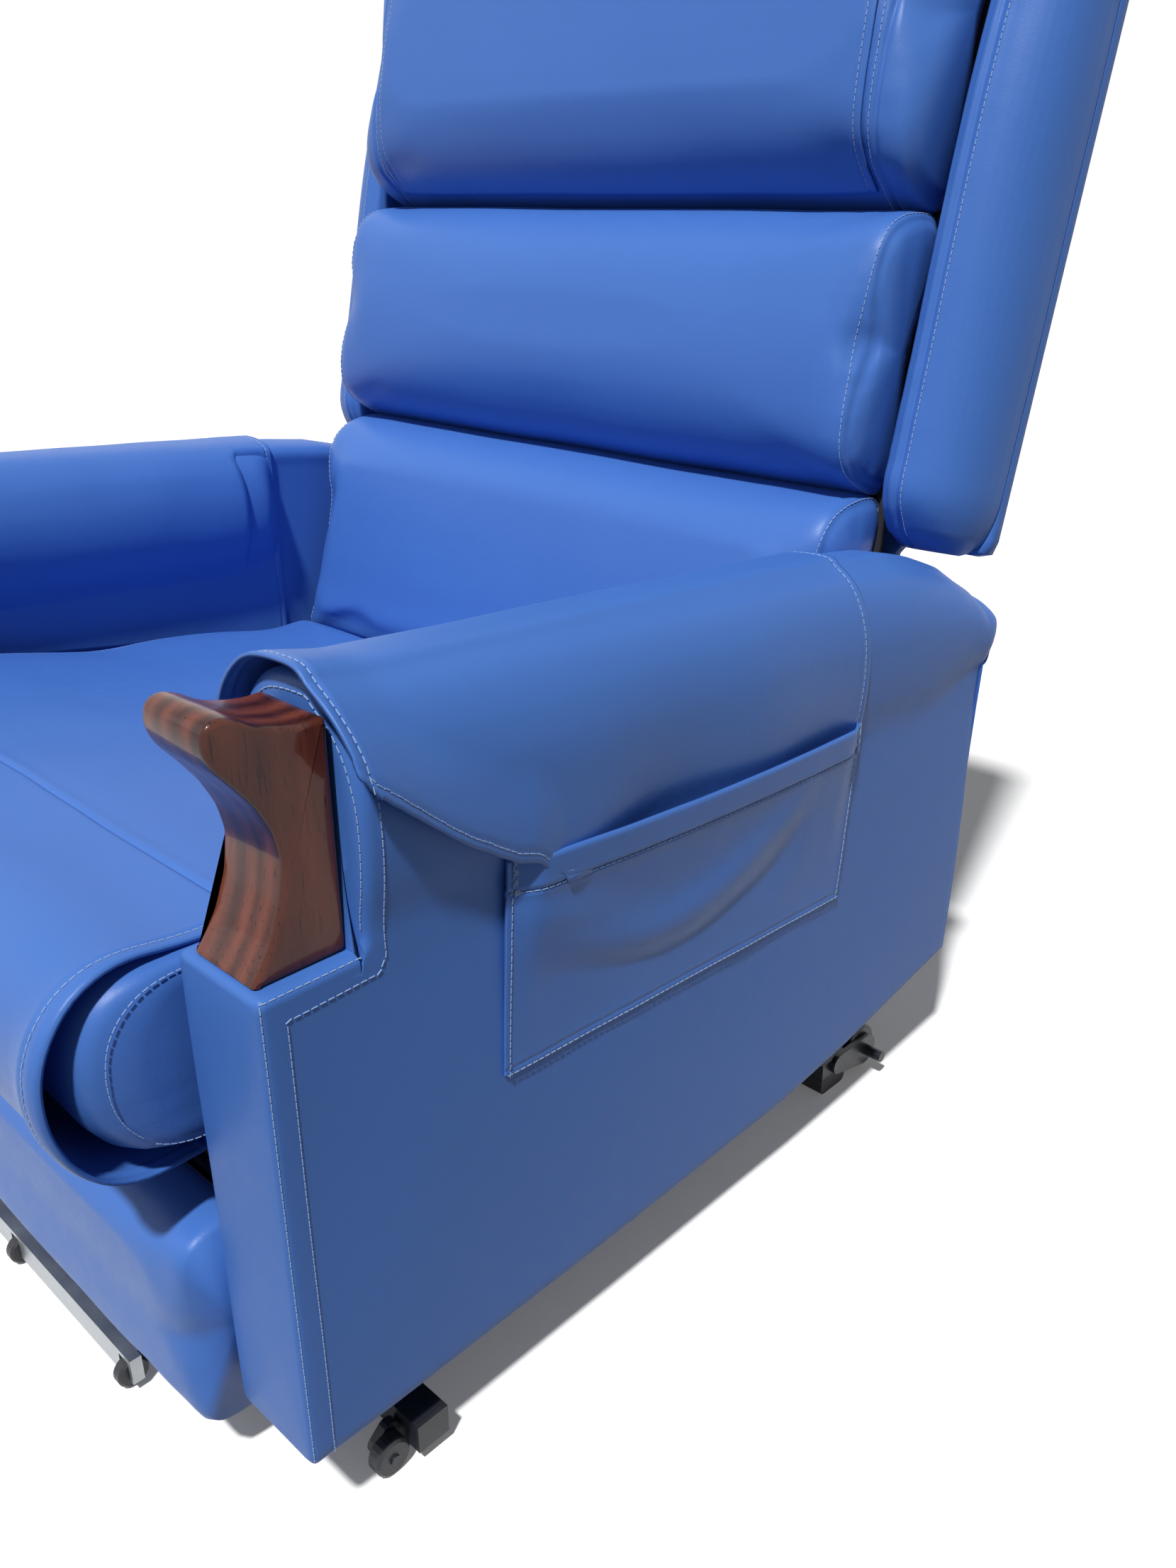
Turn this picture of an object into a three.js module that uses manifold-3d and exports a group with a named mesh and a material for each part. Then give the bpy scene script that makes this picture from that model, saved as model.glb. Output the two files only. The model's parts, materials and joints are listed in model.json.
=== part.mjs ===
// Riser-recliner patient chair: millimetres, +Z up, front towards -Y, floor at z = 0.
// Built about the chair's centre plane x = 0, then shifted so the footprint is centred on the origin.
import * as THREE from 'three';
import { mergeVertices } from 'three/addons/utils/BufferGeometryUtils.js';
import Module from 'manifold-3d';

const wasm = await Module();
wasm.setup();

// ---------------------------------------------------------------- driving dimensions
const HALF_WIDTH = 480;        // centre plane to the outer face of a side panel
const ARM_THICK = 88;          // thickness of a side panel
const PANEL_FRONT = -516;      // front face of the side panels
const PANEL_REAR = 310;        // rear face of the side panels
const PANEL_BOTTOM = 80;       // underside of the side panels above the floor
const STEP_TOP = 455;          // ledge at the arm's front that carries the knuckle
const STEP_DEPTH = 72;         // front to back size of that ledge
const ARM_TOP = 622;           // top of the arm roll at its front end
const ARM_DROP = 0.0576;       // fall of the arm towards the rear, per mm
const SEAT_TOP = 428;          // top of the seat cushion at its front crown
const SEAT_FALL = 0.143;       // fall of the seat towards the rear, per mm
const SEAT_THICK = 138;        // thickness of the seat cushion
const BACK_RAKE = 13.8 * Math.PI / 180; // lean of the backrest from upright
const BACK_TOP = 968;          // backrest height above its hinge, along the lean
const WHEEL_R = 15.5;          // small front wheels
const REAR_WHEEL_R = 25;       // rear wheels
const TUBE = 26;               // height of the base cross tubes
const LEGREST_TOP = 230;       // top edge of the legrest pad
const LEGREST_BOTTOM = 36;     // lower edge of the legrest pad
const LIFT_CRANK = 75;         // radius of the lift crank
const GAP = 0.3;               // seat clearance between touching pieces
const RUN = 0.35;              // running clearance of pins and wheels

// places worked out from the sizes above
const PANEL_IN = HALF_WIDTH - ARM_THICK;
const STEP_BACK = PANEL_FRONT + STEP_DEPTH;
const HINGE = { y: PANEL_REAR - 105, z: 235 };           // backrest hinge
const LEG_PIVOT = { y: PANEL_FRONT + 50, z: 197 };       // legrest pivot
const LIFT_A = { y: PANEL_REAR - 210, z: 76 };           // lift arm to base
const LIFT_B = { y: PANEL_FRONT + 186, z: 110 };         // lift arm to chassis
const RAIL_OUT = PANEL_IN - GAP;
const RAIL_T = 12;
const RAIL_IN = RAIL_OUT - RAIL_T;
const BASE_Z = 12;                                        // underside of the cross tubes
const BASE_TOP = BASE_Z + TUBE;
const FRONT_TUBE = { y0: PANEL_FRONT + 91, y1: PANEL_FRONT + 120 };
const REAR_TUBE = { y0: PANEL_REAR - 158, y1: PANEL_REAR - 115 };
const LEG_FRONT = PANEL_FRONT - 26;
const LEG_BACK = PANEL_FRONT + 34;
const armTop = (y) => ARM_TOP - ARM_DROP * (y - STEP_BACK);
const DECK_TOP_FRONT = SEAT_TOP - SEAT_THICK;
const deckTop = (y) => DECK_TOP_FRONT - SEAT_FALL * (y - (PANEL_FRONT + 16));

// ---------------------------------------------------------------- finishes
const finish = (color, roughness, metalness) =>
  new THREE.MeshStandardMaterial({ color, roughness, metalness });
const VINYL = () => finish(0x35549a, 0.45, 0);
const VINYL_COVER = () => finish(0x3a5aa2, 0.42, 0);
const STAINED_WOOD = () => finish(0x3d1410, 0.22, 0);
const BLACK_STEEL = () => finish(0x15171c, 0.45, 0.6);
const ZINC_STEEL = () => finish(0x8f969a, 0.4, 0.9);
const BLACK_PLASTIC = () => finish(0x121317, 0.5, 0);
const BLACK_RUBBER = () => finish(0x16171a, 0.7, 0);
const PLY = () => finish(0xb08a5a, 0.7, 0);

// ---------------------------------------------------------------- shape helpers
/** Polygon with its corners rounded; each point is [u, v] or [u, v, radius]. */
function rounded(points, steps = 4) {
  const out = [];
  points.forEach((p, i) => {
    const a = points[(i + points.length - 1) % points.length];
    const b = points[(i + 1) % points.length];
    const r = p[2] ?? 0;
    if (!r) { out.push(new THREE.Vector2(p[0], p[1])); return; }
    const c = new THREE.Vector2(p[0], p[1]);
    const da = new THREE.Vector2(a[0], a[1]).sub(c);
    const db = new THREE.Vector2(b[0], b[1]).sub(c);
    const ra = Math.min(r, da.length() * 0.49), rb = Math.min(r, db.length() * 0.49);
    const s = c.clone().add(da.setLength(ra)), e = c.clone().add(db.setLength(rb));
    for (let k = 0; k <= steps; k += 1) {
      const t = k / steps;
      out.push(new THREE.Vector2(
        (1 - t) ** 2 * s.x + 2 * t * (1 - t) * c.x + t * t * e.x,
        (1 - t) ** 2 * s.y + 2 * t * (1 - t) * c.y + t * t * e.y,
      ));
    }
  });
  return out;
}
/** Circle as a closed path, for a hole in a plate. */
function ring(y, z, r, n = 20) {
  const path = new THREE.Path();
  path.setFromPoints(Array.from({ length: n }, (_, k) => {
    const a = (k / n) * 2 * Math.PI;
    return new THREE.Vector2(y + r * Math.cos(a), z + r * Math.sin(a));
  }));
  return path;
}
/** Solid drawn in the (y, z) plane and run along x from x0 to x1. */
function alongX(points, x0, x1, holes = []) {
  const shape = new THREE.Shape(points);
  shape.holes.push(...holes);
  const g = new THREE.ExtrudeGeometry(shape, { depth: x1 - x0, bevelEnabled: false, steps: 1 });
  g.applyMatrix4(new THREE.Matrix4().makeBasis(
    new THREE.Vector3(0, 1, 0), new THREE.Vector3(0, 0, 1), new THREE.Vector3(1, 0, 0)));
  g.translate(x0, 0, 0);
  return g;
}
/** Solid drawn in the (x, z) plane and run along y from y0 back to y1. */
function alongY(points, y0, y1, holes = []) {
  const shape = new THREE.Shape(points);
  shape.holes.push(...holes);
  const g = new THREE.ExtrudeGeometry(shape, { depth: y1 - y0, bevelEnabled: false, steps: 1 });
  g.rotateX(Math.PI / 2);
  g.translate(0, y1, 0);
  return g;
}
/** Box from two corners. */
function block(x0, x1, y0, y1, z0, z1) {
  const g = new THREE.BoxGeometry(x1 - x0, y1 - y0, z1 - z0);
  g.translate((x0 + x1) / 2, (y0 + y1) / 2, (z0 + z1) / 2);
  return g;
}
/** Round bar along x. */
function rod(x0, x1, y, z, r, n = 20) {
  const g = new THREE.CylinderGeometry(r, r, x1 - x0, n);
  g.rotateZ(Math.PI / 2);
  g.translate((x0 + x1) / 2, y, z);
  return g;
}
function solid(g) {
  const c = g.clone();
  c.deleteAttribute('normal');
  c.deleteAttribute('uv');
  const m = mergeVertices(c, 1e-4);
  return new wasm.Manifold(new wasm.Mesh({
    numProp: 3,
    vertProperties: new Float32Array(m.attributes.position.array),
    triVerts: new Uint32Array(m.index.array),
  }));
}
function surface(s) {
  const m = s.getMesh();
  const g = new THREE.BufferGeometry();
  g.setAttribute('position', new THREE.BufferAttribute(new Float32Array(m.vertProperties), 3));
  g.setIndex(new THREE.BufferAttribute(new Uint32Array(m.triVerts), 1));
  g.computeVertexNormals();
  return g;
}
const join = (...parts) => surface(parts.map(solid).reduce((a, b) => a.add(b)));
const cut = (body, ...tools) => surface(tools.map(solid).reduce((a, b) => a.subtract(b), solid(body)));
/** Outline of a straight link with round ends. */
function link(a, b, ra, rb, n = 8) {
  const dir = Math.atan2(b.z - a.z, b.y - a.y);
  const points = [];
  for (let k = 0; k <= n; k += 1) {
    const t = dir + Math.PI / 2 + (k / n) * Math.PI;
    points.push(new THREE.Vector2(a.y + ra * Math.cos(t), a.z + ra * Math.sin(t)));
  }
  for (let k = 0; k <= n; k += 1) {
    const t = dir - Math.PI / 2 + (k / n) * Math.PI;
    points.push(new THREE.Vector2(b.y + rb * Math.cos(t), b.z + rb * Math.sin(t)));
  }
  return points;
}

const chair = new THREE.Group();
chair.name = 'patient_recliner_chair';
function add(name, geometry, material, parent = chair) {
  const mesh = new THREE.Mesh(geometry, material);
  mesh.name = name;
  parent.add(mesh);
  return mesh;
}
const SIDES = [['left', 1], ['right', -1]];
/** x range of a piece on one side, low end first. */
const span = (s, a, b) => (s > 0 ? [a, b] : [-b, -a]);

// ---------------------------------------------------------------- base
const TUBE_WALL = 2.5;
const FRONT_TUBE_HALF = HALF_WIDTH - 8;
const CAP_T = 4;

/** Front cross tube with its two end caps, wheel brackets and wheels. */
function frontTube() {
  const { y0, y1 } = FRONT_TUBE;
  const hole = new THREE.Path([
    new THREE.Vector2(y0 + TUBE_WALL, BASE_Z + TUBE_WALL),
    new THREE.Vector2(y1 - TUBE_WALL, BASE_Z + TUBE_WALL),
    new THREE.Vector2(y1 - TUBE_WALL, BASE_TOP - TUBE_WALL),
    new THREE.Vector2(y0 + TUBE_WALL, BASE_TOP - TUBE_WALL)]);
  const outline = [[y0, BASE_Z], [y1, BASE_Z], [y1, BASE_TOP], [y0, BASE_TOP]]
    .map((p) => new THREE.Vector2(...p));
  add('base_front_tube', alongX(outline, -FRONT_TUBE_HALF, FRONT_TUBE_HALF, [hole]), BLACK_STEEL());
  SIDES.forEach(([side, s]) => {
    const [c0, c1] = span(s, FRONT_TUBE_HALF + GAP, FRONT_TUBE_HALF + GAP + CAP_T);
    add(`base_tube_cap_${side}`, block(c0, c1, y0, y1, BASE_Z, BASE_TOP), BLACK_PLASTIC());
    const wheelY = y0 - WHEEL_R - 2;
    const [b0, b1] = span(s, FRONT_TUBE_HALF - 26, FRONT_TUBE_HALF - 18);
    const [p0, p1] = span(s, FRONT_TUBE_HALF - 22, FRONT_TUBE_HALF - 1);
    add(`front_wheel_bracket_${side}`, join(
      alongX(link({ y: wheelY, z: WHEEL_R }, { y: y0 - GAP - 8, z: BASE_Z + 12 }, 8, 8), b0, b1),
      rod(p0, p1, wheelY, WHEEL_R, 4)), BLACK_STEEL());
    const [w0, w1] = span(s, FRONT_TUBE_HALF - 17, FRONT_TUBE_HALF - 3);
    wheel(`front_wheel_${side}`, w0, w1, wheelY, WHEEL_R, WHEEL_R, 4 + RUN);
  });
}

/** Plain wheel with a small chamfer and a bore, turned about x. */
function wheel(name, x0, x1, y, z, r, bore, material = BLACK_PLASTIC()) {
  const c = Math.min(2, (x1 - x0) * 0.2);
  const profile = [[bore, 0], [r - c, 0], [r, c], [r, x1 - x0 - c], [r - c, x1 - x0], [bore, x1 - x0],
    [bore, 0]].map((p) => new THREE.Vector2(...p));
  const g = new THREE.LatheGeometry(profile, 24);
  g.rotateZ(-Math.PI / 2);
  g.translate(x0, y, z);
  add(name, g, material);
}

/** Rear cross bar, rubber feet, wheel brackets and wheels. */
function rearEnd() {
  const { y0, y1 } = REAR_TUBE;
  const footTop = 20;
  const half = HALF_WIDTH - 40;
  add('base_rear_bar', block(-half, half, y0, y1, footTop + GAP, BASE_TOP), BLACK_STEEL());
  SIDES.forEach(([side, s]) => {
    const [f0, f1] = span(s, half - 42, half - GAP);
    const foot = alongX(rounded([[y0, 0, 7], [y1, 0, 7], [y1, footTop, 2], [y0, footTop, 2]], 3), f0, f1);
    add(`rear_foot_${side}`, foot, BLACK_RUBBER());
    const wy = y1 + 31, wz = REAR_WHEEL_R;
    const [b0, b1] = span(s, half + GAP, half + 6);
    const [s0, s1] = span(s, half - 22, half + 26);
    add(`rear_wheel_bracket_${side}`, join(
      alongX(link({ y: wy, z: wz }, { y: y1 - 20, z: BASE_TOP - 6 }, 17, 11), b0, b1),
      rod(s0, s1, wy, wz, 6)), BLACK_STEEL());
    const [w0, w1] = span(s, half - 19, half - 1);
    wheel(`rear_wheel_${side}`, w0, w1, wy, wz, REAR_WHEEL_R, 6 + RUN);
  });
}

/** Side bars of the base with an ear that carries the lift shaft. */
const BASE_BAR = { x0: PANEL_IN - 80, x1: PANEL_IN - 68 };
const LIFT_SHAFT_R = 12;
function baseBars() {
  const zb = BASE_TOP + GAP, zt = zb + 22;
  const ear = LIFT_SHAFT_R + 9;
  const outline = rounded([
    [FRONT_TUBE.y0, zb], [REAR_TUBE.y1, zb], [REAR_TUBE.y1, zt],
    [LIFT_A.y + ear + 10, zt], [LIFT_A.y + ear, LIFT_A.z + ear, 12],
    [LIFT_A.y - ear, LIFT_A.z + ear, 12], [LIFT_A.y - ear - 10, zt], [FRONT_TUBE.y0, zt]], 4);
  SIDES.forEach(([side, s]) => {
    const [x0, x1] = span(s, BASE_BAR.x0, BASE_BAR.x1);
    add(`base_side_bar_${side}`, alongX(outline, x0, x1,
      [ring(LIFT_A.y, LIFT_A.z, LIFT_SHAFT_R + RUN)]), BLACK_STEEL());
  });
}

/** Zinc-plated front bar on two arms, with notches that hold four small wheels. */
function frontBar() {
  const barY0 = LEG_FRONT + 1, barY1 = barY0 + 10;
  const z0 = 9, z1 = LEGREST_BOTTOM - 2.4;
  const half = 262, r = 13.5, notch = 14, wheelY = barY0 + 5;
  const at = [250, 57, -57, -250];
  const arms = [150, -150].map((x) => block(x - 10, x + 10, barY1 - 2, FRONT_TUBE.y0 - GAP, 14, 28));
  const notches = at.map((x) => block(x - notch / 2, x + notch / 2, barY0 - 5, barY1 + 5, z0 - 5, 2 * r + 2.4));
  const pins = at.map((x) => rod(x - notch / 2 - 2, x + notch / 2 + 2, wheelY, r, 3));
  let body = solid(block(-half, half, barY0, barY1, z0, z1));
  arms.forEach((a) => { body = body.add(solid(a)); });
  notches.forEach((n) => { body = body.subtract(solid(n)); });
  pins.forEach((p) => { body = body.add(solid(p)); });
  add('base_front_bar', surface(body), ZINC_STEEL());
  ['outer_left', 'inner_left', 'inner_right', 'outer_right'].forEach((n, i) => {
    wheel(`bar_wheel_${n}`, at[i] - 6, at[i] + 6, wheelY, r, r, 3 + RUN);
  });
}

/** Lift motor on its stand, its rod, and the mains unit with its inlet. */
const CRANK_LEAN = 20 * Math.PI / 180;
const ROLLER = { y: LIFT_A.y - LIFT_CRANK * Math.sin(CRANK_LEAN), z: LIFT_A.z + LIFT_CRANK * Math.cos(CRANK_LEAN) };
const MOTOR_Z = ROLLER.z;
const ROLLER_R = 9;
const ROD_CLEAR = 5;
function liftDrive() {
  add('motor_stand', block(-26, 26, FRONT_TUBE.y0 + 1, FRONT_TUBE.y1 - 1, BASE_TOP + GAP, MOTOR_Z + 24),
    BLACK_STEEL());
  const back = FRONT_TUBE.y1 - 1 + GAP, nose = LIFT_A.y - 130;
  const bore = 9, tubeR = 17, boxR = 26;
  const turned = (points, y) => {
    const g = new THREE.LatheGeometry(points.map((p) => new THREE.Vector2(...p)), 20);
    g.translate(0, y, MOTOR_Z);
    return g;
  };
  const L = nose - back;
  add('lift_motor', turned([[0, 0], [boxR, 0], [boxR, 120], [tubeR, 132], [tubeR, L], [bore + RUN, L],
    [bore + RUN, 150], [0, 150]], back), BLACK_PLASTIC());
  // the pivot between rod and crank is open: its clearance lets the crank lean back past the rod's nose
  const rodBack = nose - 90, rodNose = ROLLER.y - ROLLER_R - ROD_CLEAR;
  const R = rodNose - rodBack;
  add('lift_rod', turned([[0, 0], [bore, 0], [bore, R - 3], [bore - 3, R], [0, R]], rodBack), ZINC_STEEL());
  const unit = block(-70, 70, FRONT_TUBE.y1 + GAP, FRONT_TUBE.y1 + 90, BASE_Z, BASE_Z + 50);
  const inlet = block(-11, 11, FRONT_TUBE.y1 + 78, FRONT_TUBE.y1 + 95, BASE_Z + 20, BASE_Z + 34);
  add('power_unit', cut(unit, inlet), BLACK_PLASTIC());
}

/** Lift shaft with its crank, and the two lift arms. */
const ARM_X = { x0: BASE_BAR.x1 + 4, x1: BASE_BAR.x1 + 12 };
const PIN_R = 8;
function liftArms() {
  const crank = alongX(link(LIFT_A, ROLLER, 18, 7), -7, 7);
  add('lift_shaft', join(
    rod(-(ARM_X.x0 - GAP), ARM_X.x0 - GAP, LIFT_A.y, LIFT_A.z, LIFT_SHAFT_R),
    crank,
    rod(-16, 16, ROLLER.y, ROLLER.z, ROLLER_R)), BLACK_STEEL());
  SIDES.forEach(([side, s]) => {
    const [x0, x1] = span(s, ARM_X.x0, ARM_X.x1);
    const [p0, p1] = span(s, ARM_X.x1 - 2, RAIL_OUT - 1);
    add(`lift_arm_${side}`, join(
      alongX(link(LIFT_A, LIFT_B, 24, 20), x0, x1),
      rod(p0, p1, LIFT_B.y, LIFT_B.z, PIN_R)), BLACK_STEEL());
  });
}

// ---------------------------------------------------------------- chassis
const LEG_TUBE_R = 9;
const BACK_TUBE_R = 12;
function chassis() {
  const zb = 150, zt = 188;
  const outline = rounded([
    [LEG_PIVOT.y - 13, LEG_PIVOT.z - 8, 6], [LEG_PIVOT.y + 40, zb, 8],
    [LIFT_B.y - 30, zb, 6], [LIFT_B.y - 20, LIFT_B.z - 20, 14], [LIFT_B.y + 20, LIFT_B.z - 20, 14],
    [LIFT_B.y + 30, zb, 6], [HINGE.y + 20, zb, 10],
    [HINGE.y + 20, HINGE.z + 20, 14], [HINGE.y - 20, HINGE.z + 20, 14], [HINGE.y - 34, zt, 6],
    [LEG_PIVOT.y + 60, zt, 8], [LEG_PIVOT.y + 14, LEG_PIVOT.z + 13, 8],
    [LEG_PIVOT.y - 13, LEG_PIVOT.z + 13, 8]], 4);
  SIDES.forEach(([side, s]) => {
    const [x0, x1] = span(s, RAIL_IN, RAIL_OUT);
    add(`chassis_rail_${side}`, alongX(outline, x0, x1, [
      ring(LEG_PIVOT.y, LEG_PIVOT.z, LEG_TUBE_R + RUN, 16),
      ring(LIFT_B.y, LIFT_B.z, PIN_R + RUN, 16),
      ring(HINGE.y, HINGE.z, BACK_TUBE_R + RUN, 16)]), BLACK_STEEL());
  });
  const half = RAIL_IN - GAP;
  add('chassis_cross_front', block(-half, half, LIFT_B.y - 34, LIFT_B.y - 9, 186, 211), BLACK_STEEL());
  add('chassis_cross_rear', block(-half, half, HINGE.y - 74, HINGE.y - 49, 151, 176), BLACK_STEEL());
  const deckFront = PANEL_FRONT + 96, deckRear = HINGE.y - 45, t = 12;
  add('seat_deck', alongX([[deckFront, deckTop(deckFront) - t], [deckRear, deckTop(deckRear) - t],
    [deckRear, deckTop(deckRear)], [deckFront, deckTop(deckFront)]]
    .map((p) => new THREE.Vector2(...p)), -half, half), PLY());
}

// ---------------------------------------------------------------- seat
const CUSHION_FRONT = PANEL_FRONT - 83;
const CUSHION_REAR = HINGE.y - 62;
const seatTop = (y) => SEAT_TOP - SEAT_FALL * (y - (PANEL_FRONT + 116));
const seatLine = () => {
  // top of the cushion from its rear end forward and down round its nose, as [y, z]
  const f = CUSHION_FRONT;
  return [[CUSHION_REAR, seatTop(CUSHION_REAR)], [PANEL_FRONT + 166, seatTop(PANEL_FRONT + 166)],
    [PANEL_FRONT + 60, SEAT_TOP + 4], [PANEL_FRONT - 26, SEAT_TOP + 5], [f + 33, SEAT_TOP + 1],
    [f + 14, SEAT_TOP - 13], [f + 3, SEAT_TOP - 34], [f, SEAT_TOP - 58], [f + 2, SEAT_TOP - 82],
    [f + 10, SEAT_TOP - 102], [f + 26, SEAT_TOP - 124], [f + 52, SEAT_TOP - 136]];
};
function seat() {
  const top = seatLine();
  const low = deckTop(CUSHION_REAR) + GAP;
  const cushion = [...top, [PANEL_FRONT + 10, deckTop(PANEL_FRONT + 10) + GAP],
    [CUSHION_REAR, low]].map((p) => new THREE.Vector2(...p));
  add('seat_cushion', alongX(cushion, -(PANEL_IN - 4), PANEL_IN - 4), VINYL());
  // loose seat cover: follows the cushion and stands a little off its nose
  const offset = (line, d, nose) => line.map((p, i) => {
    const a = line[Math.max(i - 1, 0)], b = line[Math.min(i + 1, line.length - 1)];
    const ty = b[0] - a[0], tz = b[1] - a[1], n = Math.hypot(ty, tz);
    const lift = d + nose * Math.min(1, Math.max(0, (i - 1) / 4));
    return new THREE.Vector2(p[0] + (tz / n) * lift, p[1] - (ty / n) * lift);
  });
  const base = top.slice(0, 11);
  base[0] = [CUSHION_REAR - 24, seatTop(CUSHION_REAR - 24)];
  const inner = offset(base, 0.8, 7), outer = offset(base, 5.8, 9);
  add('seat_cover', alongX([...inner, ...outer.reverse()], -(PANEL_IN - 24), PANEL_IN - 24), VINYL_COVER());
}

// ---------------------------------------------------------------- arms
const CAP_T2 = 4.4;
const ROLL_OUT = HALF_WIDTH + 2.5;
const ROLL_IN = PANEL_IN - 30;
const PANEL_TOP_DROP = 128;     // roll underside below the arm's top
/** Cross section of the arm roll in (x, z), with z measured from the arm's top line. */
function rollSection(s, grow, low) {
  const o = ROLL_OUT + grow, i = ROLL_IN - grow, t = grow;
  const mid = (ROLL_OUT + ROLL_IN) / 2;
  const half = [[o, low], [o, -62], [o - 4, -42], [o - 13, -22], [o - 28, -7], [o - 46, -0.5],
    [mid, 0], [i + 44, -3], [i + 26, -12], [i + 11, -30], [i + 2, -55], [i, -80], [i + 2, low]];
  return half.map(([x, z]) => [s * x, z === low ? z : z + t]);
}
function tiltedAlongY(points, y0, y1, holes) {
  // runs back from y0 to y1 and falls with the arm's top line
  const g = alongY(points.map((p) => new THREE.Vector2(...p)), 0, y1 - y0, holes);
  g.applyMatrix4(new THREE.Matrix4().set(1, 0, 0, 0, 0, 1, 0, y0, 0, -ARM_DROP, 1, armTop(y0), 0, 0, 0, 1));
  return g;
}
function arm(side, s) {
  const topAt = (y) => armTop(y) - PANEL_TOP_DROP - GAP;
  const panel = [[PANEL_FRONT, PANEL_BOTTOM], [PANEL_FRONT + 266, PANEL_BOTTOM],
    [PANEL_FRONT + 400, PANEL_BOTTOM + 2], [PANEL_FRONT + 531, PANEL_BOTTOM + 6],
    [PANEL_FRONT + 640, PANEL_BOTTOM + 18], [PANEL_FRONT + 738, PANEL_BOTTOM + 35],
    [PANEL_REAR, PANEL_BOTTOM + 50], [PANEL_REAR, topAt(PANEL_REAR)], [STEP_BACK + GAP, topAt(STEP_BACK)],
    [STEP_BACK + GAP, STEP_TOP], [PANEL_FRONT, STEP_TOP]].map((p) => new THREE.Vector2(...p));
  const [p0, p1] = span(s, PANEL_IN, HALF_WIDTH);
  add(`side_panel_${side}`, alongX(panel, p0, p1), VINYL());
  // arm roll with a rounded rear end
  const rollRear = PANEL_REAR + 22;
  const roll = tiltedAlongY(rollSection(s, 0, -PANEL_TOP_DROP), STEP_BACK + GAP, rollRear);
  const e = rollRear, top = armTop(PANEL_REAR);
  const [k0, k1] = span(s, ROLL_IN - 20, ROLL_OUT + 20);
  const scoop = alongX([[PANEL_REAR - 210, top + 60], [PANEL_REAR - 210, armTop(PANEL_REAR - 210) + 1],
    [PANEL_REAR - 140, top - 4], [PANEL_REAR - 90, top - 16], [PANEL_REAR - 44, top - 34],
    [PANEL_REAR - 10, top - 58], [e - 4, top - 78], [e + 1, top - 94], [e - 3, top - 112],
    [PANEL_REAR + 6, top - PANEL_TOP_DROP - 8],
    [e + 30, top - PANEL_TOP_DROP - 8], [e + 30, top + 60]].map((p) => new THREE.Vector2(...p)), k0, k1);
  // behind the cap the roll is flush with the panel, which leaves room for the pillow
  const capRear = PANEL_REAR - 218;
  const [n0, n1] = span(s, ROLL_IN - 20, PANEL_IN);
  const flush = block(n0, n1, capRear - 4, e + 60, 0, ARM_TOP + 60);
  add(`arm_roll_${side}`, cut(roll, scoop, flush), VINYL());
  // removable cap: a thin cover over the roll, open below, its outer front corner cut away
  const lowOut = -(armTop(PANEL_FRONT) - (STEP_TOP + 28));
  const outerLine = rollSection(s, 0.5 + CAP_T2, lowOut), innerLine = rollSection(s, 0.5, lowOut);
  const capFront = STEP_BACK + 4;
  const cap = tiltedAlongY([...outerLine, ...innerLine.reverse()], capFront, capRear);
  const [c0, c1] = span(s, ROLL_OUT - 12, ROLL_OUT + 20);
  const corner = alongX([[capFront - 20, STEP_TOP + 125], [capFront + 70, STEP_TOP + 55],
    [capFront + 114, STEP_TOP + 27], [capFront + 114, STEP_TOP - 40], [capFront - 20, STEP_TOP - 40]]
    .map((p) => new THREE.Vector2(...p)), c0, c1);
  add(`arm_cap_${side}`, cut(cap, corner), VINYL_COVER());
  pocket(side, s);
  knuckle(side, s);
}
/** Flat pocket on the panel's outer face, open at its top edge, falling with the arm. */
const POCKET = { y0: PANEL_FRONT + 188, y1: PANEL_FRONT + 603, top: STEP_TOP + 2, deep: 145, gap: 12.4 };
function pocket(side, s) {
  const L = POCKET.y1 - POCKET.y0, rim = 4, sheet = 3;
  const x0 = HALF_WIDTH + GAP, xs = HALF_WIDTH + POCKET.gap, x1 = xs + sheet;
  const [o0, o1] = span(s, x0, x1);
  const [i0, i1] = s > 0 ? [x0 - 5, xs] : [-xs, -x0 + 5];
  const shear = new THREE.Matrix4().set(1, 0, 0, 0, 0, 1, 0, 0, 0, -ARM_DROP, 1, 0, 0, 0, 0, 1);
  const place = (g) => g.applyMatrix4(shear).translate(0, POCKET.y0, 0);
  const outer = place(block(o0, o1, 0, L, POCKET.top - POCKET.deep, POCKET.top));
  const inner = place(block(i0, i1, rim, L - rim, POCKET.top - POCKET.deep + rim, POCKET.top + 10));
  add(`side_pocket_${side}`, cut(outer, inner), VINYL_COVER());
}
/** Stained hardwood hand grip: one sawn profile run across the arm's front. */
const KNUCKLE = { x0: PANEL_IN + 12, x1: PANEL_IN + 76 };
function knuckle(side, s) {
  const b = STEP_BACK - GAP, z = STEP_TOP + GAP;
  const outline = [[b, z + 152], [b, z], [b - 68, z], [b - 60, z + 10], [b - 50, z + 25], [b - 41, z + 48],
    [b - 37, z + 73], [b - 41, z + 92], [b - 50, z + 110], [b - 62, z + 126], [b - 73, z + 139],
    [b - 78, z + 150], [b - 78, z + 157], [b - 76, z + 165], [b - 67, z + 169], [b - 56, z + 165],
    [b - 43, z + 157], [b - 28, z + 153], [b - 14, z + 151]].map((p) => new THREE.Vector2(...p));
  const [x0, x1] = span(s, KNUCKLE.x0, KNUCKLE.x1);
  add(`knuckle_${side}`, alongX(outline, x0, x1), STAINED_WOOD());
}

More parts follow.
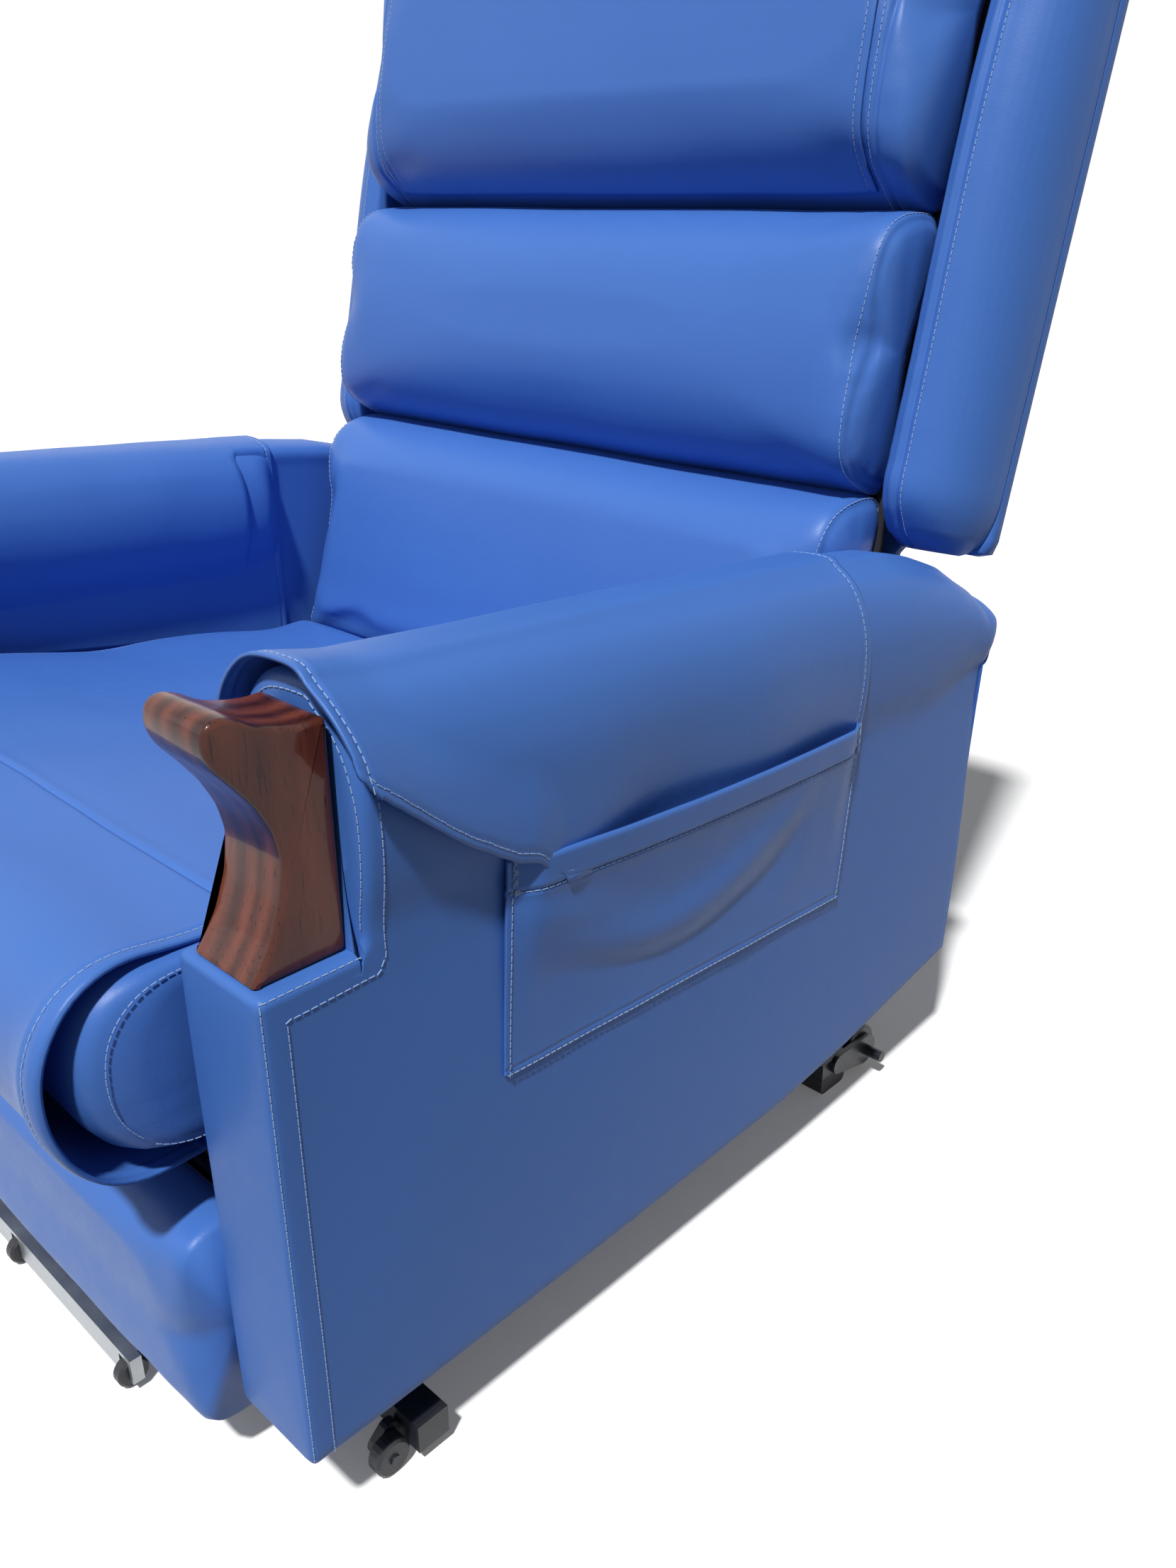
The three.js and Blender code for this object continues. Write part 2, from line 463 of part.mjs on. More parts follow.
// ---------------------------------------------------------------- backrest
const GAP_LINE = -62.7;          // plane between pillows and frame, before the hinge
const PILLOW_BULGE = 68;         // pillow front ahead of that plane
const BOARD_FRONT = 15;
const BOARD_T = 20;
const WING_IN = PANEL_IN + 3;
const LUMBAR = { s0: 92, s1: 374 }, MIDDLE = { s0: 380, s1: 627 }, HEAD = { s0: 633, s1: 944 };
const PILLOW_HALF = PANEL_IN - 4;
const UPRIGHT = { x0: PANEL_IN - 52, x1: PANEL_IN - 27 };
function pillowLine({ s0, s1 }) {
  const f = GAP_LINE - PILLOW_BULGE, back = GAP_LINE + 38, h = s1 - s0;
  return rounded([[back, s0, 12], [GAP_LINE + 8, s0, 20], [f + 12, s0 + 0.08 * h, 44], [f, s0 + 0.46 * h, 60],
    [f + 10, s0 + 0.9 * h, 46], [GAP_LINE + 4, s1, 26], [back, s1, 12]], 4);
}
function backrest() {
  const back = new THREE.Group();
  back.name = 'backrest';
  back.position.set(0, HINGE.y, HINGE.z);
  back.rotation.x = -BACK_RAKE;
  chair.add(back);
  add('back_shaft', rod(-(RAIL_OUT - 1), RAIL_OUT - 1, 0, 0, BACK_TUBE_R), BLACK_STEEL(), back);
  SIDES.forEach(([side, s]) => {
    const [x0, x1] = span(s, UPRIGHT.x0, UPRIGHT.x1);
    add(`back_upright_${side}`, block(x0, x1, GAP_LINE + 38 + GAP, BOARD_FRONT - GAP,
      BACK_TUBE_R + GAP, BACK_TOP - 40), PLY(), back);
    const [w0, w1] = span(s, WING_IN, HALF_WIDTH - 2);
    const wing = rounded([[GAP_LINE - 6, 352, 30], [GAP_LINE + 30, 334, 20], [BOARD_FRONT - GAP, 340, 20],
      [BOARD_FRONT - GAP, BACK_TOP - 4, 4], [GAP_LINE + 10, BACK_TOP - 14, 40], [GAP_LINE - 12, 700, 60]], 5);
    add(`wing_${side}`, alongX(wing, w0, w1), VINYL(), back);
  });
  const low = RAIL_IN - 4, wide = HALF_WIDTH - 2, up = 338;
  const outline = rounded([[-low, BACK_TUBE_R + 8, 10], [low, BACK_TUBE_R + 8, 10], [low, up, 0],
    [wide, up, 12], [wide, BACK_TOP, 60], [-wide, BACK_TOP, 60], [-wide, up, 12], [-low, up, 0]], 5);
  add('back_board', alongY(outline, BOARD_FRONT, BOARD_FRONT + BOARD_T), VINYL(), back);
  add('lumbar_pillow', alongX(pillowLine(LUMBAR), -PILLOW_HALF, PILLOW_HALF), VINYL(), back);
  add('middle_pillow', alongX(pillowLine(MIDDLE), -PILLOW_HALF, PILLOW_HALF), VINYL(), back);
  add('head_pillow', alongX(pillowLine(HEAD), -PILLOW_HALF, PILLOW_HALF), VINYL(), back);
  // loose head cover: thin, over the front and the top of the head pillow
  const line = pillowLine(HEAD);
  const mid = { y: GAP_LINE - 10, z: (HEAD.s0 + HEAD.s1) / 2 };
  const chosen = line.filter((p) => p.x < GAP_LINE + 6 && p.y > HEAD.s0 + 6);
  const grow = (d) => chosen.map((p) => {
    const v = new THREE.Vector2(p.x - mid.y, p.y - mid.z);
    return new THREE.Vector2(p.x, p.y).add(v.setLength(d));
  });
  add('head_cover', alongX([...grow(0.8), ...grow(4.8).reverse()], -(PILLOW_HALF - 52), PILLOW_HALF - 52),
    VINYL_COVER(), back);
}

// ---------------------------------------------------------------- legrest
function legrest() {
  add('legrest_shaft', rod(-(RAIL_OUT - 1), RAIL_OUT - 1, LEG_PIVOT.y, LEG_PIVOT.z, LEG_TUBE_R, 16),
    BLACK_STEEL());
  SIDES.forEach(([side, s]) => {
    const [x0, x1] = span(s, 190, 214);
    const near = LEG_PIVOT.y - LEG_TUBE_R - GAP;
    add(`legrest_bracket_${side}`, block(x0, x1, LEG_BACK + GAP, near, 66, LEGREST_TOP - 16), BLACK_STEEL());
  });
  const pad = rounded([[LEG_FRONT + 3, LEGREST_BOTTOM, 20], [LEG_BACK, LEGREST_BOTTOM, 12],
    [LEG_BACK, LEGREST_TOP, 12], [LEG_FRONT + 2, LEGREST_TOP, 26], [LEG_FRONT, LEGREST_TOP - 60, 30]], 4);
  add('legrest_pad', alongX(pad, -(PANEL_IN - 3), PANEL_IN - 3), VINYL());
}

frontTube();
rearEnd();
baseBars();
frontBar();
liftDrive();
liftArms();
chassis();
seat();
SIDES.forEach(([side, s]) => arm(side, s));
backrest();
legrest();

const extent = new THREE.Box3().setFromObject(chair, true);
chair.position.set(0, -(extent.min.y + extent.max.y) / 2, -extent.min.z);

export default chair;
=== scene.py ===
"""Wide ward recliner.

Padded arms with caps and pockets, wooden hand grips, a pillow back and a low riser base.
"""
from __future__ import annotations

import json
import logging
import math
from dataclasses import dataclass, field
from enum import Enum
from typing import Callable, Iterable, Sequence

import bpy
import bmesh
import numpy as np
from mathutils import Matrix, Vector, noise
from mathutils.bvhtree import BVHTree

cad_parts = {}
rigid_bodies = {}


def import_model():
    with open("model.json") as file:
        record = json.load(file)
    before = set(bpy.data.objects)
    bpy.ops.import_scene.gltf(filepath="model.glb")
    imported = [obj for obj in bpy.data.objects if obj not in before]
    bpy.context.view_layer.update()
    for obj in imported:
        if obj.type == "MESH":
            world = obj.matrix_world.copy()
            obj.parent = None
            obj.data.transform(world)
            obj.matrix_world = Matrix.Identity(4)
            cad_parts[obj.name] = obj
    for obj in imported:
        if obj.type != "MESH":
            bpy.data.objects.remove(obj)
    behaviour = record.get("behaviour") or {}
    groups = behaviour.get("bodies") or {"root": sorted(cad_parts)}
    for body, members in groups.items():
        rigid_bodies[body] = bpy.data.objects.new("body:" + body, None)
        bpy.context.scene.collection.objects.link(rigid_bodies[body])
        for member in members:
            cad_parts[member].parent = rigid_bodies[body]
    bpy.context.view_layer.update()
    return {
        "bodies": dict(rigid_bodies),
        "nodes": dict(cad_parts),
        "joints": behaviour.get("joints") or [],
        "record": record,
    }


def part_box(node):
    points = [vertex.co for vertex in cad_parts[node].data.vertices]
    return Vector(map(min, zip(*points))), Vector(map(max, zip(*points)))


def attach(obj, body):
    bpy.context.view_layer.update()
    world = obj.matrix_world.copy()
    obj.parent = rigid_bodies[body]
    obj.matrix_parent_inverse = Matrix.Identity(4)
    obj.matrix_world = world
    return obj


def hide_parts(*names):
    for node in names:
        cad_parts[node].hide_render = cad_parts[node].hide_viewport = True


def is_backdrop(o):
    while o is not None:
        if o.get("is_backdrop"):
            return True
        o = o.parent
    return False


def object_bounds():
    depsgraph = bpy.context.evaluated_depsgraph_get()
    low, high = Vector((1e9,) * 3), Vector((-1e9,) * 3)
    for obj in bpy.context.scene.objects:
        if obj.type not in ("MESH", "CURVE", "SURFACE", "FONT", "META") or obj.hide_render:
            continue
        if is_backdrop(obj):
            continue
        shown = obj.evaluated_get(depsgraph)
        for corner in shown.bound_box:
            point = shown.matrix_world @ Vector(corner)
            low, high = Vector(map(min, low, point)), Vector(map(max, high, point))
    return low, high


log = logging.getLogger("chair")
MM = 0.001


# ------------------------------------------------------------------ grids and outlines
def chain(edges: Sequence[tuple[tuple, tuple]]) -> np.ndarray:
    """Join loose edges into one closed loop of points.

    Args:
        edges: pairs of end points, each point a tuple.
    Returns:
        The loop as an (n, 2) array.
    """
    links: dict[tuple, list[tuple]] = {}
    for a, b in edges:
        links.setdefault(a, []).append(b)
        links.setdefault(b, []).append(a)
    start = edges[0][0]
    loop, last, here = [start], None, start
    while True:
        ahead = [p for p in links[here] if p != last]
        last, here = here, ahead[0]
        if here == start or len(loop) > len(edges) + 2:
            break
        loop.append(here)
    return np.array(loop, float)


def end_outline(points: np.ndarray, faces: np.ndarray, axis: int, high: bool) -> np.ndarray:
    """Outline of the flat end of a straight-run solid.

    Args:
        points: vertex places.
        faces: triangles as vertex numbers.
        axis: the axis the solid runs along.
        high: take the end with the larger coordinate.
    Returns:
        Closed outline in the other two axes, counter-clockwise.
    """
    level = points[:, axis].max() if high else points[:, axis].min()
    keep = [a for a in range(3) if a != axis]
    count: dict[tuple, int] = {}
    for tri in faces:
        if np.abs(points[tri, axis] - level).max() > 2e-5:
            continue
        q = [tuple(np.round(points[i][keep], 5)) for i in tri]
        for k in range(3):
            key = tuple(sorted((q[k], q[(k + 1) % 3])))
            count[key] = count.get(key, 0) + 1
    loop = chain([k for k, n in count.items() if n == 1])
    x, y = loop[:, 0], loop[:, 1]
    area = 0.5 * float(np.sum(x * np.roll(y, -1) - np.roll(x, -1) * y))
    return loop if area > 0 else loop[::-1].copy()


def node_arrays(node: str) -> tuple[np.ndarray, np.ndarray]:
    """Vertex places and triangles of a frame node.

    Args:
        node: name of the node.
    Returns:
        Places as (n, 3) and triangles as (m, 3) vertex numbers.
    """
    mesh = bpy.data.objects[node].data
    points = np.array([v.co[:] for v in mesh.vertices])
    faces = np.array([p.vertices[:3] for p in mesh.polygons])
    return points, faces


def resampled(loop: np.ndarray, count: int, soften: float = 0.0) -> np.ndarray:
    """Spread points evenly round a closed loop and soften its corners.

    Args:
        loop: (n, 2) closed outline.
        count: number of points wanted.
        soften: width of the rounding, in metres.
    Returns:
        (count, 2) outline.
    """
    fine = 6 * count
    closed = np.vstack([loop, loop[:1]])
    step = np.r_[0, np.cumsum(np.linalg.norm(np.diff(closed, axis=0), axis=1))]
    at = np.linspace(0, step[-1], fine, endpoint=False)
    dense = np.stack([np.interp(at, step, closed[:, k]) for k in range(2)], 1)
    if soften > 0:
        sigma = soften / (step[-1] / fine)
        freq = np.fft.fftfreq(fine)
        gauss = np.exp(-2 * (math.pi * freq * sigma) ** 2)
        dense = np.stack([np.fft.ifft(np.fft.fft(dense[:, k]) * gauss).real for k in range(2)], 1)
    return dense[::6]


def ladder(length: float, step: float, lines: Iterable[float] = (), near: float = 1.6 * MM) -> np.ndarray:
    """Places along a length, evenly spaced, with close rungs round each seam line.

    Args:
        length: whole length in metres.
        step: usual spacing.
        lines: places of the seams.
        near: spacing next to a seam.
    Returns:
        Sorted places from 0 to length.
    """
    at = set(np.linspace(0, length, max(2, round(length / step) + 1)))
    for line in lines:
        at = {a for a in at if abs(a - line) > 4.2 * near or a in (0.0, length)}
        at |= {line + k * near for k in range(-4, 5) if 0 < line + k * near < length}
    return np.array(sorted(at))


def groove(gap: np.ndarray, depth: float, width: float) -> np.ndarray:
    """Dip of a seam with the swell beside it.

    Args:
        gap: distance from the seam.
        depth: depth of the dip.
        width: half width of the dip.
    Returns:
        Height change at each distance.
    """
    swell = 0.4 * depth * np.exp(-((np.abs(gap) - 2.4 * width) / (1.3 * width)) ** 2)
    return -depth * np.exp(-(gap / width) ** 2) + swell


def ripple(points: np.ndarray, scale: float, seed: float) -> np.ndarray:
    """Smooth random height at each point, about -1 to 1.

    Args:
        points: (..., 3) places.
        scale: size of one swell in metres.
        seed: shifts the pattern.
    Returns:
        Array of heights.
    """
    flat = points.reshape(-1, 3) / scale + seed
    return np.array([noise.noise(Vector(p)) for p in flat]).reshape(points.shape[:-1])


@dataclass
class Grid:
    """A net of points: rows run across u, and each row runs round or along v."""

    points: np.ndarray
    ring: bool = False

    def at(self, us: np.ndarray, vs: np.ndarray) -> "Grid":
        """Resample the net smoothly at fractional rows and columns.

        Args:
            us: fractional row numbers.
            vs: fractional column numbers.
        Returns:
            A new net.
        """
        def blend(data: np.ndarray, at: np.ndarray, wrap: bool) -> np.ndarray:
            """Read rows of an array at fractional places.

            Args:
                data: array of rows.
                at: fractional row numbers.
                wrap: the rows close into a ring.
            Returns:
                One row for each place.
            """
            n = data.shape[0]
            i = np.floor(at).astype(int)
            t = (at - i)[:, None, None]
            pick = (lambda k: data[k % n]) if wrap else (lambda k: data[np.clip(k, 0, n - 1)])
            p0, p1, p2, p3 = pick(i - 1), pick(i), pick(i + 1), pick(i + 2)
            if not wrap:
                first, last = (i - 1 < 0)[:, None, None], (i + 2 > n - 1)[:, None, None]
                p0 = np.where(first, 2 * p1 - p2, p0)
                p3 = np.where(last, 2 * p2 - p1, p3)
            return 0.5 * (2 * p1 + (p2 - p0) * t + (2 * p0 - 5 * p1 + 4 * p2 - p3) * t ** 2
                          + (3 * p1 - p0 - 3 * p2 + p3) * t ** 3)
        rows = blend(self.points, us, False)
        cols = blend(rows.transpose(1, 0, 2), vs, self.ring).transpose(1, 0, 2)
        return Grid(cols, self.ring)

    def normals(self) -> np.ndarray:
        """Unit normals of the net, along u crossed with v."""
        p = self.points
        du = np.gradient(p, axis=0)
        dv = (np.roll(p, -1, 1) - np.roll(p, 1, 1)) / 2 if self.ring else np.gradient(p, axis=1)
        n = np.cross(du, dv)
        return n / np.maximum(np.linalg.norm(n, axis=2, keepdims=True), 1e-9)

    def moved(self, height: np.ndarray, out: float = 1.0) -> "Grid":
        """Net pushed along its normals by a height at each point."""
        return Grid(self.points + self.normals() * (out * height)[..., None], self.ring)

    def area(self) -> float:
        """Area of the net in square metres."""
        p = self.points
        a = p[1:, :-1] - p[:-1, :-1]
        b = p[:-1, 1:] - p[:-1, :-1]
        return float(np.linalg.norm(np.cross(a, b), axis=2).sum())


def mesh_object(name: str, points: Sequence, faces: Sequence, smooth: bool = True) -> bpy.types.Object:
    """Make a linked mesh object from points and faces.

    Args:
        name: object name.
        points: vertex places.
        faces: vertex numbers of each face.
        smooth: shade the faces smooth.
    Returns:
        The mesh object, its faces pointing outwards.
    """
    mesh = bpy.data.meshes.new(name)
    mesh.from_pydata([tuple(map(float, p)) for p in points], [], [tuple(map(int, f)) for f in faces])
    mesh.validate()
    bm = bmesh.new()
    bm.from_mesh(mesh)
    bmesh.ops.recalc_face_normals(bm, faces=bm.faces)
    bm.to_mesh(mesh)
    bm.free()
    mesh.polygons.foreach_set("use_smooth", [smooth] * len(mesh.polygons))
    obj = bpy.data.objects.new(name, mesh)
    bpy.context.scene.collection.objects.link(obj)
    return obj


def closed_mesh(name: str, grid: Grid, crease: float = 0.0) -> bpy.types.Object:
    """Mesh of a ring net whose first and last rows are single points.

    Args:
        name: object name.
        grid: the ring net.
        crease: angle in radians past which an edge stays sharp; rows that coincide are joined then.
    Returns:
        The mesh object.
    """
    p = grid.points
    rows, cols = p.shape[:2]
    points = [p[0].mean(0)] + list(p[1:-1].reshape(-1, 3)) + [p[-1].mean(0)]
    number = lambda r, c: 1 + (r - 1) * cols + c % cols
    faces = [(0, number(1, c), number(1, c + 1)) for c in range(cols)]
    for r in range(1, rows - 2):
        faces += [(number(r, c), number(r + 1, c), number(r + 1, c + 1), number(r, c + 1)) for c in range(cols)]
    last = len(points) - 1
    faces += [(number(rows - 2, c), last, number(rows - 2, c + 1)) for c in range(cols)]
    obj = mesh_object(name, points, faces)
    if crease:
        bm = bmesh.new()
        bm.from_mesh(obj.data)
        bmesh.ops.remove_doubles(bm, verts=bm.verts, dist=0.02 * MM)
        bmesh.ops.dissolve_degenerate(bm, edges=bm.edges, dist=0.02 * MM)
        bmesh.ops.recalc_face_normals(bm, faces=bm.faces)
        bm.to_mesh(obj.data)
        bm.free()
        obj.data.set_sharp_from_angle(angle=crease)
    return obj


def sheet_mesh(name: str, grid: Grid, thick: float, side: float = 0.0) -> bpy.types.Object:
    """Closed thin shell from an open net.

    Args:
        name: object name.
        grid: the net of its middle surface.
        thick: thickness in metres.
        side: 1 puts the thickness on the normal's side, -1 on the other, 0 on both.
    Returns:
        The mesh object.
    """
    n = grid.normals() * thick
    top, low = grid.points + n * (0.5 + side / 2), grid.points - n * (0.5 - side / 2)
    rows, cols = grid.points.shape[:2]
    a = np.arange(rows * cols).reshape(rows, cols)
    b = a + rows * cols
    faces = []
    for i in range(rows - 1):
        for j in range(cols - 1):
            faces.append((a[i, j], a[i + 1, j], a[i + 1, j + 1], a[i, j + 1]))
            faces.append((b[i, j], b[i, j + 1], b[i + 1, j + 1], b[i + 1, j]))
    rim = [(i, 0) for i in range(rows)] + [(rows - 1, j) for j in range(1, cols)]
    rim += [(i, cols - 1) for i in range(rows - 2, -1, -1)] + [(0, j) for j in range(cols - 2, 0, -1)]
    for k, (i, j) in enumerate(rim):
        i2, j2 = rim[(k + 1) % len(rim)]
        faces.append((a[i, j], b[i, j], b[i2, j2], a[i2, j2]))
    return mesh_object(name, list(top.reshape(-1, 3)) + list(low.reshape(-1, 3)), faces)


def loft(outline: np.ndarray, lo: float, hi: float, edge: float, crown: float, step: float) -> Grid:
    """Ring net of a straight-run form with rounded rims and crowned end faces.

    Args:
        outline: (v, 2) closed section in (y, z), star-shaped about its middle.
        lo: x of the low end.
        hi: x of the high end.
        edge: radius between side and end.
        crown: swell of each end face.
        step: spacing of the rows along x.
    Returns:
        Ring net from pole to pole.
    """
    centre = outline.mean(0)
    arms = outline - centre
    reach = np.linalg.norm(arms, axis=1, keepdims=True)
    rim = [(lo - crown * (1 - k * k), edge, k) for k in np.linspace(0, 1, 8)[:-1]]
    rim += [(lo + edge * (1 - math.cos(a)), edge * (1 - math.sin(a)), 1.0)
            for a in np.linspace(0, math.pi / 2, 6)]
    inner = np.linspace(lo + edge, hi - edge, max(3, round((hi - lo - 2 * edge) / step) + 1))[1:-1]
    rows = rim + [(x, 0.0, 1.0) for x in inner] + [(lo + hi - x, inset, k) for x, inset, k in reversed(rim)]
    net = []
    for x, inset, k in rows:
        share = np.maximum(reach - inset, 0.02 * reach) / reach
        net.append(np.column_stack([np.full(len(outline), x), centre + arms * share * k]))
    return Grid(np.array(net), True)


# ------------------------------------------------------------------ upholstery by simulation
@dataclass
class Stuffing:
    """How a padded form swells when its cover is filled."""

    pressure: float = 4.0
    limit: float = 0.014
    frames: int = 20

    def swell(self, grid: Grid, hold: Callable[[np.ndarray], np.ndarray]) -> Grid:
        """Fill a ring net with a cloth simulation.

        Args:
            grid: the slack form.
            hold: gives True for points that stay where they are.
        Returns:
            The filled form, each point moved no further than the limit.
        """
        obj = closed_mesh("filling", grid)
        places = np.array([v.co[:] for v in obj.data.vertices])
        held = obj.vertex_groups.new(name="held")
        held.add([int(i) for i in np.flatnonzero(hold(places))], 1.0, "REPLACE")
        cloth = obj.modifiers.new("cover", "CLOTH")
        s = cloth.settings
        s.quality, s.mass, s.air_damping = 5, 0.4, 2.0
        s.tension_stiffness = s.compression_stiffness = 18.0
        s.shear_stiffness, s.bending_stiffness = 6.0, 1.5
        s.use_pressure, s.uniform_pressure_force = True, self.pressure
        s.vertex_group_mass = "held"
        s.effector_weights.gravity = 0.0
        cloth.collision_settings.use_collision = False
        cloth.point_cache.frame_start, cloth.point_cache.frame_end = 1, self.frames
        scene = bpy.context.scene
        for f in range(1, self.frames + 1):
            scene.frame_set(f)
        shape = obj.evaluated_get(bpy.context.evaluated_depsgraph_get()).data
        after = np.array([v.co[:] for v in shape.vertices])
        scene.frame_set(1)
        bpy.data.objects.remove(obj)
        move = self._even(after - places, grid.points.shape[:2])
        size = np.linalg.norm(move, axis=1, keepdims=True)
        move *= np.minimum(1.0, self.limit / np.maximum(size, 1e-9))
        rows, cols = grid.points.shape[:2]
        out = grid.points.copy()
        out[0] += move[0]
        out[-1] += move[-1]
        out[1:-1] += move[1:-1].reshape(rows - 2, cols, 3)
        return Grid(out, True)

    @staticmethod
    def _even(move: np.ndarray, shape: tuple[int, int]) -> np.ndarray:
        """Even out the movement between neighbours, so the cover keeps no sharp dents.

        Args:
            move: movement of each point, poles first and last.
            shape: rows and columns of the net.
        Returns:
            The evened movement.
        """
        rows = move[1:-1].reshape(shape[0] - 2, shape[1], 3).copy()
        for _ in range(2):
            rows = 0.5 * rows + 0.25 * (np.roll(rows, 1, 1) + np.roll(rows, -1, 1))
            rows[1:-1] = 0.5 * rows[1:-1] + 0.25 * (rows[2:] + rows[:-2])
        return np.vstack([move[:1], rows.reshape(-1, 3), move[-1:]])


# ------------------------------------------------------------------ sewing
@dataclass
class Sewing:
    """Rows of stitches collected for each body, then made by one node tree."""

    pitch: float = 6.0 * MM
    length: float = 4.4 * MM
    radius: float = 0.42 * MM
    rows: dict[str, list[np.ndarray]] = field(default_factory=dict)

    def row(self, body: str, path: np.ndarray) -> None:
        """Add one line of stitches to a body.

        Args:
            body: body that the stitches ride on.
            path: points of the line.
        """
        if len(path) > 1:
            self.rows.setdefault(body, []).append(np.asarray(path, float))

    def tree(self, thread: bpy.types.Material) -> bpy.types.NodeTree:
        """Node tree that sets short thread lengths along lines.

        Args:
            thread: finish of the stitches.
        Returns:
            The geometry node tree.
        """
        t = bpy.data.node_groups.new("StitchRow", "GeometryNodeTree")
        t.interface.new_socket("Geometry", in_out="INPUT", socket_type="NodeSocketGeometry")
        for label, value in (("Pitch", self.pitch), ("Stitch Length", self.length), ("Thread Radius", self.radius)):
            s = t.interface.new_socket(label, in_out="INPUT", socket_type="NodeSocketFloat")
            s.default_value = value
        t.interface.new_socket("Geometry", in_out="OUTPUT", socket_type="NodeSocketGeometry")
        add = t.nodes.new
        src, out = add("NodeGroupInput"), add("NodeGroupOutput")
        curve, spaced = add("GeometryNodeMeshToCurve"), add("GeometryNodeCurveToPoints")
        spaced.mode = "LENGTH"
        thread_mesh = add("GeometryNodeMeshCylinder")
        thread_mesh.inputs["Vertices"].default_value = 6
        thread_mesh.inputs["Side Segments"].default_value = 3
        place, real = add("GeometryNodeInstanceOnPoints"), add("GeometryNodeRealizeInstances")
        dress = add("GeometryNodeSetMaterial")
        dress.inputs["Material"].default_value = thread
        link = t.links.new
        link(src.outputs["Geometry"], curve.inputs["Mesh"])
        link(curve.outputs[0], spaced.inputs["Curve"])
        link(src.outputs["Pitch"], spaced.inputs["Length"])
        link(src.outputs["Stitch Length"], thread_mesh.inputs["Depth"])
        link(src.outputs["Thread Radius"], thread_mesh.inputs["Radius"])
        link(spaced.outputs["Points"], place.inputs["Points"])
        link(spaced.outputs["Rotation"], place.inputs["Rotation"])
        link(thread_mesh.outputs["Mesh"], place.inputs["Instance"])
        link(place.outputs["Instances"], real.inputs["Geometry"])
        link(real.outputs["Geometry"], dress.inputs["Geometry"])
        link(dress.outputs["Geometry"], out.inputs["Geometry"])
        return t

    def sew(self, thread: bpy.types.Material) -> None:
        """Make one stitched mesh for each body from the rows collected.

        Args:
            thread: finish of the stitches.
        """
        tree = self.tree(thread)
        for body, rows in sorted(self.rows.items()):
            points, edges = [], []
            for path in rows:
                start = len(points)
                points += [tuple(map(float, p)) for p in path]
                edges += [(start + i, start + i + 1) for i in range(len(path) - 1)]
            mesh = bpy.data.meshes.new("lines")
            mesh.from_pydata(points, edges, [])
            obj = bpy.data.objects.new(f"stitches_{body}", mesh)
            bpy.context.scene.collection.objects.link(obj)
            mod = obj.modifiers.new("stitches", "NODES")
            mod.node_group = tree
            for item in tree.interface.items_tree:
                if item.item_type == "SOCKET" and item.in_out == "INPUT" and item.name == "Pitch":
                    mod[item.identifier] = self.pitch
            plain = bpy.data.meshes.new_from_object(obj.evaluated_get(bpy.context.evaluated_depsgraph_get()))
            obj.modifiers.clear()
            obj.data = plain
            bpy.data.meshes.remove(mesh)
            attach(obj, body)
            log.info("stitches on %s: %d rows, %d faces", body, len(rows), len(plain.polygons))


# ------------------------------------------------------------------ finishes
class Sheen(Enum):
    """How shiny a vinyl surface is."""

    SEAT = 0.42
    PANEL = 0.47
    BACK = 0.5


def socket(tree: bpy.types.NodeTree, name: str, kind: str, way: str,
           value: float | tuple | None = None) -> None:
    """Add one socket to a shader group.

    Args:
        tree: the group.
        name: socket name.
        kind: socket type.
        way: INPUT or OUTPUT.
        value: default value.
    """
    s = tree.interface.new_socket(name, in_out=way, socket_type=kind)
    if value is not None:
        s.default_value = value


def math_node(tree: bpy.types.NodeTree, op: str, a: bpy.types.NodeSocket | float,
              b: bpy.types.NodeSocket | float) -> bpy.types.NodeSocket:
    """Wire a math node; each side is a socket or a number.

    Args:
        tree: tree it goes in.
        op: operation.
        a: first value.
        b: second value.
    Returns:
        The node's output.
    """
    n = tree.nodes.new("ShaderNodeMath")
    n.operation = op
    for i, v in enumerate((a, b)):
        if isinstance(v, bpy.types.NodeSocket):
            tree.links.new(v, n.inputs[i])
        else:
            n.inputs[i].default_value = v
    return n.outputs[0]


